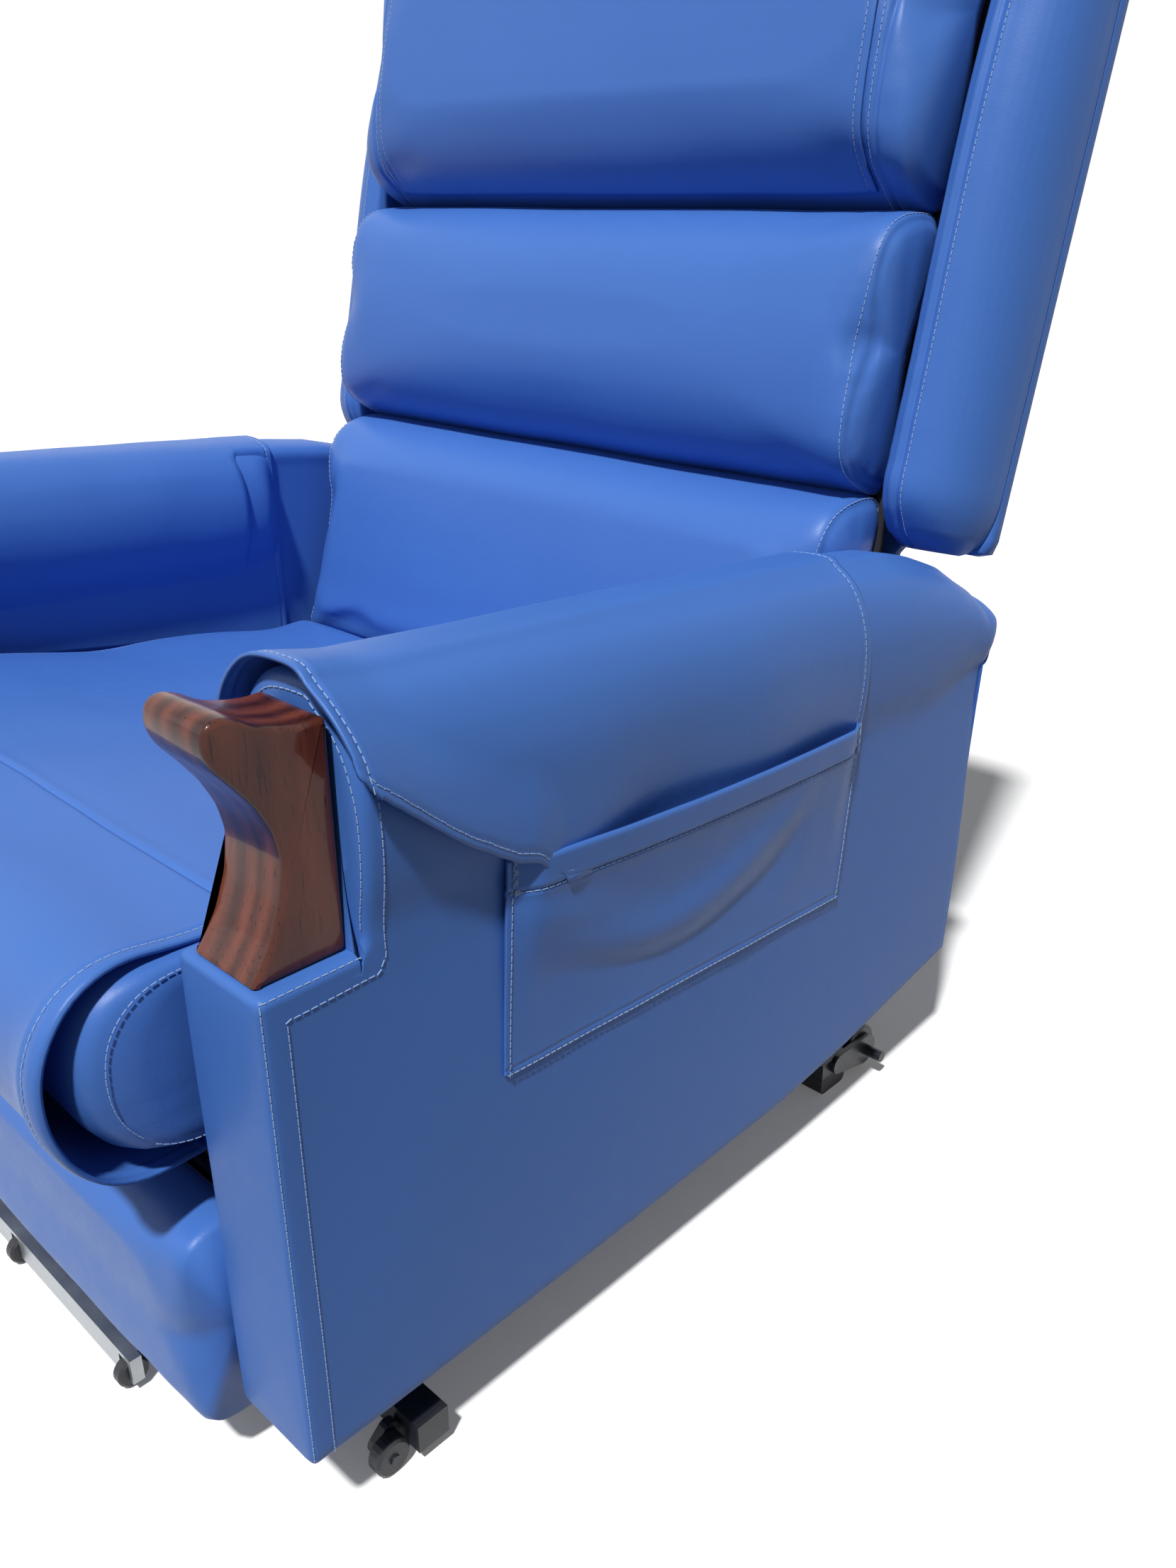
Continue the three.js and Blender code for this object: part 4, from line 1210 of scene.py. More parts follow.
    def cap(self) -> Grid:
        """Net of the loose cap from its inner hem over the roll to its outer hem."""
        p = self.places
        front, rear = p.step_back - 0.005, p.panel_front + 0.604
        ys = front + ladder(rear - front, 0.0065, [self.hem, rear - front - self.hem], 1.3 * MM)
        rows = []
        for y in ys:
            mouth = 1 - float(smooth(front, front + 0.055, y))
            line = self.roll_line(y, 240, 3.4 * MM + 6.0 * MM * mouth)
            low, seat = self.roll_low(y), 0.424 - p.seat_fall * max(0.0, y - p.step_back)
            outer_end, inner_end = self.hem_low(y), seat
            hang = np.column_stack([np.full(40, line[0, 0] + 1.5 * MM),
                                    np.linspace(outer_end - 0.001, low, 41)[:-1]])
            if outer_end >= low:
                hang = np.empty((0, 2))
            fall = np.column_stack([np.full(20, p.panel_in - 1.9 * MM), np.linspace(low, inner_end, 21)[1:]])
            if y > p.panel_front + 0.55:
                line = np.column_stack([np.maximum(line[:, 0], p.panel_in - 3.0 * MM), line[:, 1]])
            roll = line[line[:, 1] > outer_end] if outer_end < low else line
            whole = np.vstack([hang, roll, fall])
            arc = curve_through(whole, 500, sharp=True)
            outer_half = np.arange(500) < 250
            keep = ~(outer_half & (arc[:, 1] < outer_end))
            first = int(np.argmax(keep))
            arc = curve_through(arc[first:], 120, sharp=True)
            rows.append(np.column_stack([arc[:, 0], np.full(len(arc), y), arc[:, 1]]))
        net = Grid(np.array(rows))
        share = np.linspace(0, 1, 120)
        run = (net.points[..., 1] - front) / (rear - front)
        loose = (1 - smooth(0.05, 0.42, share))[None, :] * smooth(0.0, 0.25, run) * (1 - 0.6 * smooth(0.8, 1.0, run))
        folds = 0.0021 * np.sin(2 * math.pi * (net.points[..., 1] / 0.21 + 0.25 * net.points[..., 2])) * loose
        flap = (1 - smooth(0.0, 0.16, share))[None, :] * (1 - smooth(0.24, 0.5, run))
        height = folds + 0.0095 * flap + 0.0011 * ripple(net.points, 0.09, 9.0 * self.sign)
        edge_gap = net.points[..., 1] - front
        for gap in (edge_gap - self.hem, edge_gap - (rear - front - self.hem)):
            height = height + groove(gap, 0.7 * MM, 1.5 * MM)
        rim = np.linspace(0, 1, 120)
        span = np.linalg.norm(np.diff(net.points, axis=1), axis=2).sum(1)[:, None] * rim[None, :]
        height = height + groove(span - self.hem, 0.7 * MM, 2.2 * MM)
        sign = 1.0 if float(net.normals()[:, 60, 2].mean()) > 0 else -1.0
        return net.moved(height, sign)

    def pocket_top(self, y: float) -> float:
        """Height of the pocket's mouth at a place along it."""
        p = self.places
        return p.step_top + 0.0235 - 0.05 * (y - p.panel_front - self.pocket_run[0])

    def pocket(self) -> Grid:
        """Net of the sewn-on pocket with its open, folded mouth."""
        p = self.places
        y0, y1 = (p.panel_front + r for r in self.pocket_run)
        ys = y0 + ladder(y1 - y0, 0.005, [0.004, y1 - y0 - 0.004], 1.2 * MM)
        down = ladder(self.pocket_deep, 0.0045, [self.pocket_hem, self.pocket_deep - 0.004], 1.2 * MM)
        run = ((ys - y0) / (y1 - y0))[:, None]
        fall = (down / self.pocket_deep)[None, :]
        sides = np.minimum(1, np.minimum(run, 1 - run) / 0.07)
        sides = sides * sides * (3 - 2 * sides)
        mouth = np.exp(-(fall / 0.42) ** 1.6)
        bulge = 0.0125 * mouth * sides * (0.78 + 0.3 * np.sin(math.pi * run) ** 0.7)
        sag = 0.27 + 0.37 * np.sin(math.pi * np.clip((run - 0.02) / 0.78, 0, 1)) ** 0.9
        fold = fall - sag
        crease = 0.0052 * np.exp(-(fold / 0.13) ** 2) - 0.0040 * np.exp(-((fold - 0.22) / 0.15) ** 2)
        crease = crease * np.sin(math.pi * np.clip((run - 0.015) / 0.82, 0, 1)) ** 0.8
        rise = bulge + crease * smooth(0.0, 0.12, fall)
        second = 0.0016 * np.exp(-((fall - 0.25 - 0.6 * run) / 0.07) ** 2)
        second = second * np.exp(-((run - 0.14) / 0.1) ** 2)
        rise = np.maximum(rise + second, 0)
        # the mouth dips a little between its tacks
        dip = 0.004 * np.sin(math.pi * run) * (1 - smooth(0, 0.5, fall))
        y = np.repeat(ys[:, None], len(down), 1) - 0.012 * fall * (1 - run) * 0.6 - 0.016 * fall * run
        top = np.array([self.pocket_top(v) for v in ys])[:, None]
        z = top - dip - down[None, :]
        x = p.panel_out + 3.0 * MM + rise
        net = Grid(np.stack([x, y, z], -1))
        height = 0.0005 * ripple(net.points, 0.05, 2.0 + self.sign)
        height = height + groove(down[None, :] - self.pocket_hem, 0.9 * MM, 1.6 * MM)
        height = height + 0.8 * MM * (1 - smooth(self.pocket_hem - 0.003, self.pocket_hem + 0.002, down[None, :]))
        height = height + groove(down[None, :] - (self.pocket_deep - 0.004), 0.5 * MM, 1.4 * MM)
        net.points[..., 0] += height
        return net

    def grip(self) -> bpy.types.Object:
        """Turned-edge hand grip sawn from one board.

        Returns:
            The mesh object.
        """
        points, faces = node_arrays("knuckle_left")
        outline = resampled(end_outline(points, faces, 0, True), 132, 3.2 * MM)
        d = np.roll(outline, -1, 0) - np.roll(outline, 1, 0)
        n = np.column_stack([-d[:, 1], d[:, 0]]) / np.linalg.norm(d, axis=1, keepdims=True)
        lo, hi = points[:, 0].min(), points[:, 0].max()
        bevel = 4.2 * MM
        rings = []
        for a in np.linspace(0, math.pi / 2, 6):
            rings.append((lo + bevel * (1 - math.sin(a)), bevel * (1 - math.cos(a))))
        rings = rings[::-1]
        rows = rings + [(lo + hi - x, inset) for x, inset in reversed(rings)]
        verts, quads = [], []
        for x, inset in rows:
            section = outline + n * inset
            verts += [(self.sign * x, y, z) for y, z in section]
        m = len(outline)
        for r in range(len(rows) - 1):
            quads += [(r * m + i, r * m + (i + 1) % m, (r + 1) * m + (i + 1) % m, (r + 1) * m + i)
                      for i in range(m)]
        quads += [tuple(range(m)), tuple(range((len(rows) - 1) * m, len(rows) * m))]
        obj = mesh_object(f"hand_grip_{self.side}", verts, quads)
        bm = bmesh.new()
        bm.from_mesh(obj.data)
        big = [f for f in bm.faces if len(f.verts) > 4]
        bmesh.ops.triangulate(bm, faces=big, ngon_method="BEAUTY")
        for f in bm.faces:
            f.smooth = True
        bmesh.ops.recalc_face_normals(bm, faces=bm.faces)
        bm.to_mesh(obj.data)
        bm.free()
        obj.data.set_sharp_from_angle(angle=math.radians(32))
        return obj

    def build(self, look: Palette, sewing: Sewing) -> None:
        """Make every piece of the arm, dress it and sew it.

        Args:
            look: the finishes.
            sewing: the rows of stitches.
        """
        p, s = self.places, self.sign
        cover = self.cover()
        dress(cover, look.panel)
        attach(cover, "chassis")
        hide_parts(f"side_panel_{self.side}", f"arm_roll_{self.side}")
        inset = 0.0175
        z_low, shelf = p.panel_low + 0.006, p.step_top - 0.019
        line = [(p.panel_front + inset, z_low), (p.panel_front + inset, shelf),
                (p.step_back + 0.013, shelf + 0.002),
                (p.step_back + 0.019, shelf + 0.012), (p.step_back + 0.017, p.step_top + 0.12)]
        path = curve_through([(s * 0.6, y, z) for y, z in line], 300, sharp=True)
        sewing.row("chassis", laid_on(cover, path, (-s, 0, 0)))
        fold = [(p.panel_front + 0.0015, z_low), (p.panel_front + 0.0015, p.step_top - 0.0012),
                (p.step_back - 0.001, p.step_top - 0.0012)]
        slant = np.array([-s, 0.42, -0.28])
        edge = [(s * p.panel_out + s * 0.1, y - 0.042, z + 0.028) for y, z in fold]
        edge = curve_through(edge, 260, sharp=True)
        sewing.row("chassis", laid_on(cover, edge, slant / np.linalg.norm(slant), 0.35 * MM))
        arch = self.roll_line(p.step_back + 0.012, 120)
        arch = arch[arch[:, 1] > p.step_top + 0.012]
        ahead = np.column_stack([s * arch[:, 0], np.zeros(len(arch)), arch[:, 1]])
        middle = np.array([s * 0.5 * (p.panel_in + p.panel_out), 0, p.step_top + 0.05])
        ahead = middle + (ahead - middle) * 0.91
        ahead[:, 1] = p.step_back - 0.1
        sewing.row("chassis", laid_on(cover, ahead, (0, 1, 0), 0.4 * MM))
        self._cap(look, sewing)
        self._pocket(look, sewing)
        grip = self.grip()
        dress(grip, look.wood)
        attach(grip, "chassis")
        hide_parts(f"knuckle_{self.side}")
        log.info("arm %s built", self.side)

    def _cap(self, look: Palette, sewing: Sewing) -> None:
        """Make the loose cap and its rows of stitches.

        Args:
            look: the finishes.
            sewing: the rows of stitches.
        """
        net, s = self.cap(), self.sign
        area = net.area()
        top_side = 1.0 if float(net.normals()[:, 60, 2].mean()) > 0 else -1.0
        lifted = net.moved(np.full(net.points.shape[:2], 0.5 * self.cap_thick + 0.4 * MM), top_side)
        for run in (self.hem, net.points[-1, 0, 1] - net.points[0, 0, 1] - self.hem):
            u = float(np.interp(net.points[0, 0, 1] + run, net.points[:, 0, 1], np.arange(len(net.points))))
            row = lifted.at(np.array([u]), np.arange(0.0, 100.0)).points[0]
            sewing.row("chassis", row * [s, 1, 1])
        span = np.linalg.norm(np.diff(net.points, axis=1), axis=2).sum(1) / (net.points.shape[1] - 1)
        hem_row = [lifted.at(np.array([float(i)]), np.array([self.hem / span[i]])).points[0, 0]
                   for i in range(6, int(0.42 * len(net.points)))]
        sewing.row("chassis", np.array(hem_row) * [s, 1, 1])
        net.points[..., 0] *= s
        obj = sheet_mesh(f"cap_cover_{self.side}", net, self.cap_thick)
        dress(obj, look.vinyl)
        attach(obj, "chassis")
        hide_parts(f"arm_cap_{self.side}")

    def _pocket(self, look: Palette, sewing: Sewing) -> None:
        """Make the pocket with its stitched edges and the tacks at its mouth.

        Args:
            look: the finishes.
            sewing: the rows of stitches.
        """
        net, s = self.pocket(), self.sign
        area = net.area()
        rows, cols = net.points.shape[:2]
        lifted = Grid(net.points + np.array([1.9 * MM, 0, 0]))
        depth = net.points[rows // 2, 0, 2] - net.points[rows // 2, :, 2]
        down = lambda d: float(np.interp(d, depth, np.arange(cols)))
        along = net.points[:, 0, 1] - net.points[0, 0, 1]
        across = lambda d: float(np.interp(d, along, np.arange(rows)))
        end = along[-1]
        for v in (down(self.pocket_hem), down(self.pocket_deep - 0.004)):
            us = np.linspace(across(0.004), across(end - 0.004), 120)
            sewing.row("chassis", lifted.at(us, np.array([v])).points[:, 0] * [s, 1, 1])
        for u in (across(0.004), across(end - 0.004)):
            vs = np.linspace(down(0.001), down(self.pocket_deep - 0.004), 60)
            sewing.row("chassis", lifted.at(np.array([u]), vs).points[0] * [s, 1, 1])
            start = lifted.at(np.array([u]), np.array([down(0.002)])).points[0, 0]
            lean = 1 if u < rows / 2 else -1
            for k in range(5):
                tack = [start + np.array([0.0002, lean * (0.0006 + 0.0011 * k), -0.001]),
                        start + np.array([0.0002, lean * (0.0006 + 0.0011 * k), -0.024])]
                sewing.row("chassis", np.array(tack) * [s, 1, 1])
        net.points[..., 0] *= s
        obj = sheet_mesh(f"pocket_{self.side}", net, 2.4 * MM)
        dress(obj, look.vinyl)
        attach(obj, "chassis")
        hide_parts(f"side_pocket_{self.side}")
        log.info("pocket %s: %.3f square metres", self.side, area)


# ------------------------------------------------------------------ seat
@dataclass
class Seat:
    """Seat cushion with a boxed seam and the loose cover thrown over it."""

    places: Places
    seam_in: float = 9 * MM
    shrink: float = 7 * MM
    cover_thick: float = 3.0 * MM
    hem: float = 8 * MM

    def build(self, look: Palette, sewing: Sewing) -> None:
        """Make the cushion and its cover.

        Args:
            look: the finishes.
            sewing: the rows of stitches.
        """
        p = self.places
        points, faces = node_arrays("seat_cushion")
        outline = resampled(end_outline(points, faces, 0, True), 84, 9 * MM)
        half = p.cushion_half
        reach = half - self.shrink
        slack = loft(shrunken(outline, self.shrink), -reach, reach, 0.022, 0.006, 0.015)
        rear, low = outline[:, 0].max() - 0.04, outline[:, 1].min()
        deck = lambda v: (v[:, 1] > rear) | (v[:, 2] < low + 0.05) & (v[:, 1] > p.panel_front + 0.1)
        full = Stuffing(limit=0.012).swell(slack, deck)
        ceiling = max(outline[:, 1]) + 0.004
        full.points[..., 2] = np.minimum(full.points[..., 2], ceiling)
        full.points[..., 0] = np.clip(full.points[..., 0], -half - 0.001, half + 0.001)
        seam = half - self.seam_in
        net = seamed(full, [-seam, seam], 0.008, 210, 2.2 * MM, 1.0)
        cushion = closed_mesh("seat_cushion_cover", net)
        dress(cushion, look.vinyl)
        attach(cushion, "chassis")
        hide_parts("seat_cushion")
        for x in (-seam + 0.0055, seam - 0.0055):
            sewing.row("chassis", line_on(net, x, spread=self._front(net)))
        self._cover(net, look, sewing)
        self._seat_shade_sheet(look)
        log.info("seat built")

    def _seat_shade_sheet(self, look: Palette) -> None:
        """Hang a near-black sheet under the front of the seat that paints the shade in the gap there.

        Args:
            look: the finishes.
        """
        front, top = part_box("seat_deck")[0][1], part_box("seat_deck")[1][2]
        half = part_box("seat_deck")[1][0] - 1 * MM
        xs, drops = np.linspace(-half, half, 90), np.linspace(0, 0.085, 14)
        net = np.stack(np.meshgrid(xs, drops, indexing="ij"), -1)
        sway = 0.0022 * np.sin(net[..., 0] / 0.031) * net[..., 1] / 0.085
        net = np.stack([net[..., 0], front - 3.4 * MM - np.abs(sway), top - net[..., 1]], -1)
        # near-black sheet: painted shade in the gap under the seat front
        obj = sheet_mesh("seat_painted_shade_sheet", Grid(net), 1.4 * MM)
        dress(obj, look.painted_shade_sheet)
        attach(obj, "chassis")

    def _front(self, net: Grid) -> slice:
        """Columns of the visible part of the cushion: its top and nose.

        Args:
            net: the fine net.
        Returns:
            The columns.
        """
        row = net.points[len(net.points) // 2]
        cols = np.flatnonzero((row[:, 1] < self.places.panel_front + 0.3) & (row[:, 2] > row[:, 2].min() + 0.012))
        return slice(int(cols.min()), int(cols.max()))

    def _cover(self, cushion: Grid, look: Palette, sewing: Sewing) -> None:
        """Throw the loose cover over the cushion: close on top, standing off at the nose.

        Args:
            cushion: the fine net under it.
            look: the finishes.
            sewing: the rows of stitches.
        """
        p = self.places
        side = p.cushion_half - 0.026
        rings = cushion.points.shape[1]
        middle = cushion.points[len(cushion.points) // 2]
        order = np.arange(rings)
        start = int(np.argmax(middle[:, 1] + middle[:, 2]))
        turn = 1 if middle[(start + 12) % rings, 2] > middle[(start - 12) % rings, 2] else -1
        path = (start + turn * order) % rings
        span = np.r_[0, np.cumsum(np.linalg.norm(np.diff(middle[path], axis=0), axis=1))]
        length = float(span[int(np.argmax(middle[path][:, 2] < p.step_top - 0.168))])
        seam_at = float(span[int(np.argmin(np.abs(middle[path][:, 1] - (p.step_back - 0.004))
                                            + 10 * (middle[path][:, 2] < p.step_top - 0.06)))])
        runs = 0.035 + ladder(length - 0.035, 0.0065, [seam_at - 0.035, length - 0.035 - self.hem,
                                                      length - 0.035 - 0.024], 1.3 * MM)
        vs = np.interp(runs, span, order)
        cols = (start + turn * vs) % rings
        xs_net = cushion.points[:, :, 0].mean(1)
        xs = -side + ladder(2 * side, 0.011, [self.hem, 2 * side - self.hem], 1.4 * MM)
        us = np.interp(xs, xs_net, np.arange(len(xs_net)))
        wrapped = Grid(cushion.points, True)
        base = wrapped.at(us, cols)
        normals = Grid(cushion.normals() * outward(cushion), True).at(us, cols).points
        fore = smooth(seam_at + 0.03, seam_at + 0.17, runs)[None, :]
        tail = smooth(length - 0.09, length, runs)[None, :]
        lip = np.exp(-((np.abs(xs)[:, None] - side) / 0.02) ** 2)
        gap = 2.6 * MM + fore * (0.0165 - 0.007 * tail) + fore * 0.005 * lip
        swell = 0.0016 * ripple(base.points * [0.6, 1, 1], 0.13, 6.0)
        edge = np.abs(np.abs(xs)[:, None] - (side - self.hem))
        height = gap + swell + groove(edge, 0.7 * MM, 1.6 * MM)
        height = height + groove(runs[None, :] - seam_at, 1.9 * MM, 2.0 * MM)
        height = height + groove(runs[None, :] - (length - self.hem), 0.7 * MM, 1.6 * MM)
        net = Grid(base.points + normals * height[..., None])
        toward = 1.0 if float((net.normals() * normals).sum()) > 0 else -1.0
        lifted = net.moved(np.full(height.shape, 0.5 * self.cover_thick + 0.4 * MM), toward)
        u_at = lambda x: float(np.interp(x, xs, np.arange(len(xs))))
        v_at = lambda r: float(np.interp(r, runs, np.arange(len(runs))))
        for x in (-side + self.hem, side - self.hem):
            row = lifted.at(np.array([u_at(x)]), np.arange(v_at(0.2), len(runs) - 2.0)).points[0]
            sewing.row("chassis", row)
        row = lifted.at(np.arange(2.0, len(xs) - 2), np.array([v_at(length - self.hem)])).points[:, 0]
        sewing.row("chassis", row)
        obj = sheet_mesh("seat_throw", net, self.cover_thick)
        dress(obj, look.vinyl)
        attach(obj, "chassis")
        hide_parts("seat_cover")


def shrunken(outline: np.ndarray, by: float) -> np.ndarray:
    """Closed outline drawn in towards its middle by a distance.

    Args:
        outline: (n, 2) outline.
        by: distance in metres.
    Returns:
        The smaller outline.
    """
    middle = outline.mean(0)
    arms = outline - middle
    reach = np.linalg.norm(arms, axis=1, keepdims=True)
    return middle + arms * (1 - by / reach)


# ------------------------------------------------------------------ backrest
@dataclass(frozen=True)
class PillowSpec:
    """One back pillow: its node, its seams and how far it swells."""

    name: str
    node: str
    seam_in: float
    seed: float
    limit: float = 0.013
    foot: bool = False


@dataclass
class Backrest:
    """Three filled pillows, a loose head cover, two wings and the covered board behind."""

    places: Places
    shrink: float = 3 * MM
    crowd: float = 14 * MM
    wing_seam: float = 19 * MM

    def pillow(self, spec: PillowSpec, look: Palette, sewing: Sewing) -> Grid:
        """Fill and sew one pillow.

        Args:
            spec: which pillow.
            look: the finishes.
            sewing: the rows of stitches.
        Returns:
            The fine net, in backrest places.
        """
        p = self.places
        points, faces = node_arrays(spec.node)
        local = p.unlean(end_outline(points, faces, 0, True))
        middle = 0.5 * (local[:, 1].min() + local[:, 1].max())
        tall = local[:, 1].max() - local[:, 1].min()
        local[:, 1] = middle + (local[:, 1] - middle) * (tall + self.crowd) / tall
        if spec.foot:
            bottom = (local[:, 1] < middle - 0.05 * tall) & (local[:, 0] < local[:, 0].max() - 0.03)
            local[bottom, 0] = np.minimum(local[bottom, 0], local[:, 0].min() + 0.004)
        outline = resampled(local, 72, 7 * MM)
        low, high, back = outline[:, 1].min(), outline[:, 1].max(), outline[:, 0].max()
        half = points[:, 0].max()
        slack = loft(shrunken(outline, self.shrink), -half + 0.006, half - 0.006, 0.02, 0.004, 0.014)
        full = Stuffing(limit=spec.limit).swell(slack, lambda v: v[:, 1] > back - 0.022)
        full.points[..., 1] = np.minimum(full.points[..., 1], back - 2.6 * MM)
        heights, centre, room = full.points[..., 2], 0.5 * (low + high), 0.5 * (high - low) + 0.002
        near = centre + room * np.tanh((heights - centre) / room * 1.12) / math.tanh(1.12)
        full.points[..., 2] = np.where(np.abs(heights - centre) > room, np.clip(heights, low - 0.002, high + 0.002),
                                       0.35 * near + 0.65 * heights)
        full.points[..., 0] = np.clip(full.points[..., 0], -half - 0.001, half + 0.001)
        seam = half - spec.seam_in
        net = seamed(full, [-seam, seam], 0.0075, 168, 1.7 * MM, spec.seed)
        front = self.front(net)
        for x in (-seam + 0.006, seam - 0.006):
            sewing.row("backrest", p.lean(line_on(net, x, spread=front)))
        obj = closed_mesh(spec.name, Grid(p.lean(net.points), True))
        dress(obj, look.vinyl)
        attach(obj, "backrest")
        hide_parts(spec.node)
        log.info("%s built", spec.name)
        return net

    @staticmethod
    def front(net: Grid) -> slice:
        """Columns of a pillow that face forward.

        Args:
            net: the fine net.
        Returns:
            The columns.
        """
        row = net.points[len(net.points) // 2]
        cols = np.flatnonzero(row[:, 1] < row[:, 1].max() - 0.02)
        whole = cols.max() - cols.min() >= len(row) - 2
        return slice(None) if whole else slice(int(cols.min()), int(cols.max()))

    def head_cover(self, head: Grid, look: Palette, sewing: Sewing) -> None:
        """Lay the loose cover on the front of the head pillow.

        Args:
            head: the fine net under it.
            look: the finishes.
            sewing: the rows of stitches.
        """
        p = self.places
        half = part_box("head_cover")[1][0]
        rings = head.points.shape[1]
        middle = head.points[len(head.points) // 2]
        back, low = middle[:, 1].max(), middle[:, 2].min()
        held = (middle[:, 1] < back - 0.05) & (middle[:, 2] > low + 0.008)
        first = int(np.flatnonzero(held & ~np.roll(held, 1))[0])
        count = int(held.sum())
        xs_net = head.points[:, :, 0].mean(1)
        hem = 7 * MM
        xs = -half + ladder(2 * half, 0.011, [hem, 2 * half - hem], 1.4 * MM)
        us = np.interp(xs, xs_net, np.arange(len(xs_net)))
        cols = (first + np.linspace(0, count - 1, count)) % rings
        base = Grid(head.points, True).at(us, cols)
        normals = Grid(head.normals() * outward(head), True).at(us, cols).points
        edge = np.abs(np.abs(xs)[:, None] - (half - hem))
        height = 2.4 * MM + groove(edge, 0.8 * MM, 1.6 * MM) + 0.001 * ripple(base.points, 0.12, 15.0)
        net = Grid(base.points + normals * height[..., None])
        toward = 1.0 if float((net.normals() * normals).sum()) > 0 else -1.0
        lifted = net.moved(np.full(height.shape, 1.9 * MM), toward)
        for x in (-half + hem, half - hem):
            u = float(np.interp(x, xs, np.arange(len(xs))))
            sewing.row("backrest", p.lean(lifted.at(np.array([u]), np.arange(1.0, count - 2)).points[0]))
        obj = sheet_mesh("head_throw", Grid(p.lean(net.points)), 2.8 * MM)
        dress(obj, look.vinyl)
        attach(obj, "backrest")
        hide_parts("head_cover")

    def wing(self, side: str, look: Palette, sewing: Sewing) -> None:
        """Make one padded wing, rounded from its inner seam back to the board.

        Args:
            side: left or right.
            look: the finishes.
            sewing: the rows of stitches.
        """
        p, s = self.places, 1 if side == "left" else -1
        points, faces = node_arrays(f"wing_{side}")
        local = p.unlean(end_outline(points, faces, 0, True))
        inner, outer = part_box("wing_left")[0][0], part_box("wing_left")[1][0]
        back, low, high = local[:, 0].max(), local[:, 1].min(), local[:, 1].max()
        heights = low + ladder(high - low, 0.012)
        face = [self._face(local, h) for h in np.clip(heights, low + 0.03, high - 0.02)]
        rows = []
        width = outer - inner
        count = 76
        for h, d in zip(heights, face):
            bottom = float(np.sqrt(np.clip(1 - (1 - np.clip((h - low) / 0.062, 0, 1)) ** 2, 0, 1)))
            crest = float(np.sqrt(np.clip(1 - (1 - np.clip((high - h) / 0.03, 0, 1)) ** 2, 0, 1)))
            full = max(0.10, min(bottom, crest))
            depth = (back - d) * (0.25 + 0.75 * full)
            front = back - depth
            wide = width * (0.62 + 0.38 * full ** 0.8)
            shell = [(inner, back), (inner, front + 0.012), (inner + 0.0035, front + 0.0035),
                     (inner + 0.013, front)]
            for a in np.linspace(0.18, math.pi / 2, 12):
                shell.append((inner + 0.013 + (wide - 0.013) * math.sin(a) ** 0.92,
                              front + depth * (1 - math.cos(a) ** 0.86)))
            shell[-1] = (inner + wide, back - 0.001)
            line = curve_through(shell, count - 16, sharp=True)
            rest = np.column_stack([np.linspace(inner + wide, inner, 18)[1:-1], np.full(16, back)])
            section = np.vstack([line, rest])
            rows.append(np.column_stack([section, np.full(count, h)]))
        foot, tip = rows[0].mean(0), rows[-1].mean(0)
        pole = np.ones((count, 1))
        ends = [foot[None] * pole, foot + (rows[0] - foot) * 0.5]
        tips = [tip + (rows[-1] - tip) * 0.5, tip[None] * pole]
        net = Grid(np.array(ends + rows + tips), True)
        fine = net.at(np.linspace(0, len(net.points) - 1, 150), np.arange(count * 2) / 2)
        out = outward(fine)
        seam = inner + self.wing_seam
        on_front = fine.points[..., 1] < back - 0.03
        height = groove(fine.points[..., 0] - seam, 1.9 * MM, 2.2 * MM) * on_front
        height = height + 0.0012 * ripple(fine.points, 0.13, 20.0 + s)
        near_low = np.exp(-((fine.points[..., 2] - low) / 0.09) ** 2) + 0.15
        pucker = ripple(fine.points * np.array([0.4, 1, 1]), 0.02, 31.0)
        height = height + 0.0014 * near_low * np.exp(-((fine.points[..., 0] - seam) / 0.02) ** 2) * pucker
        fine = fine.moved(height, out)
        fine.points[..., 0] = np.maximum(fine.points[..., 0], inner - 0.001)
        mirrored = Grid(p.lean(fine.points * np.array([s, 1, 1])), True)
        obj = closed_mesh(f"wing_cover_{side}", mirrored)
        dress(obj, look.panel)
        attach(obj, "backrest")
        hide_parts(f"wing_{side}")
        ahead = [(s * (seam + 0.006), back - 0.4, h) for h in np.linspace(low + 0.012, high - 0.02, 260)]
        way = p.lean(np.array([[0, 1.0, 0]])) - p.lean(np.array([[0, 0.0, 0]]))
        sewing.row("backrest", laid_on(obj, p.lean(np.array(ahead)), way[0]))

    @staticmethod
    def _face(local: np.ndarray, height: float) -> float:
        """Depth of the front of a wing's outline at one height.

        Args:
            local: (n, 2) outline.
            height: height along the lean.
        Returns:
            Depth in metres.
        """
        a, b = local, np.roll(local, -1, 0)
        cross = (a[:, 1] - height) * (b[:, 1] - height) <= 0
        climb = b[cross, 1] - a[cross, 1]
        t = (height - a[cross, 1]) / np.where(np.abs(climb) < 1e-9, 1, climb)
        return float((a[cross, 0] + t * (b[cross, 0] - a[cross, 0])).min())

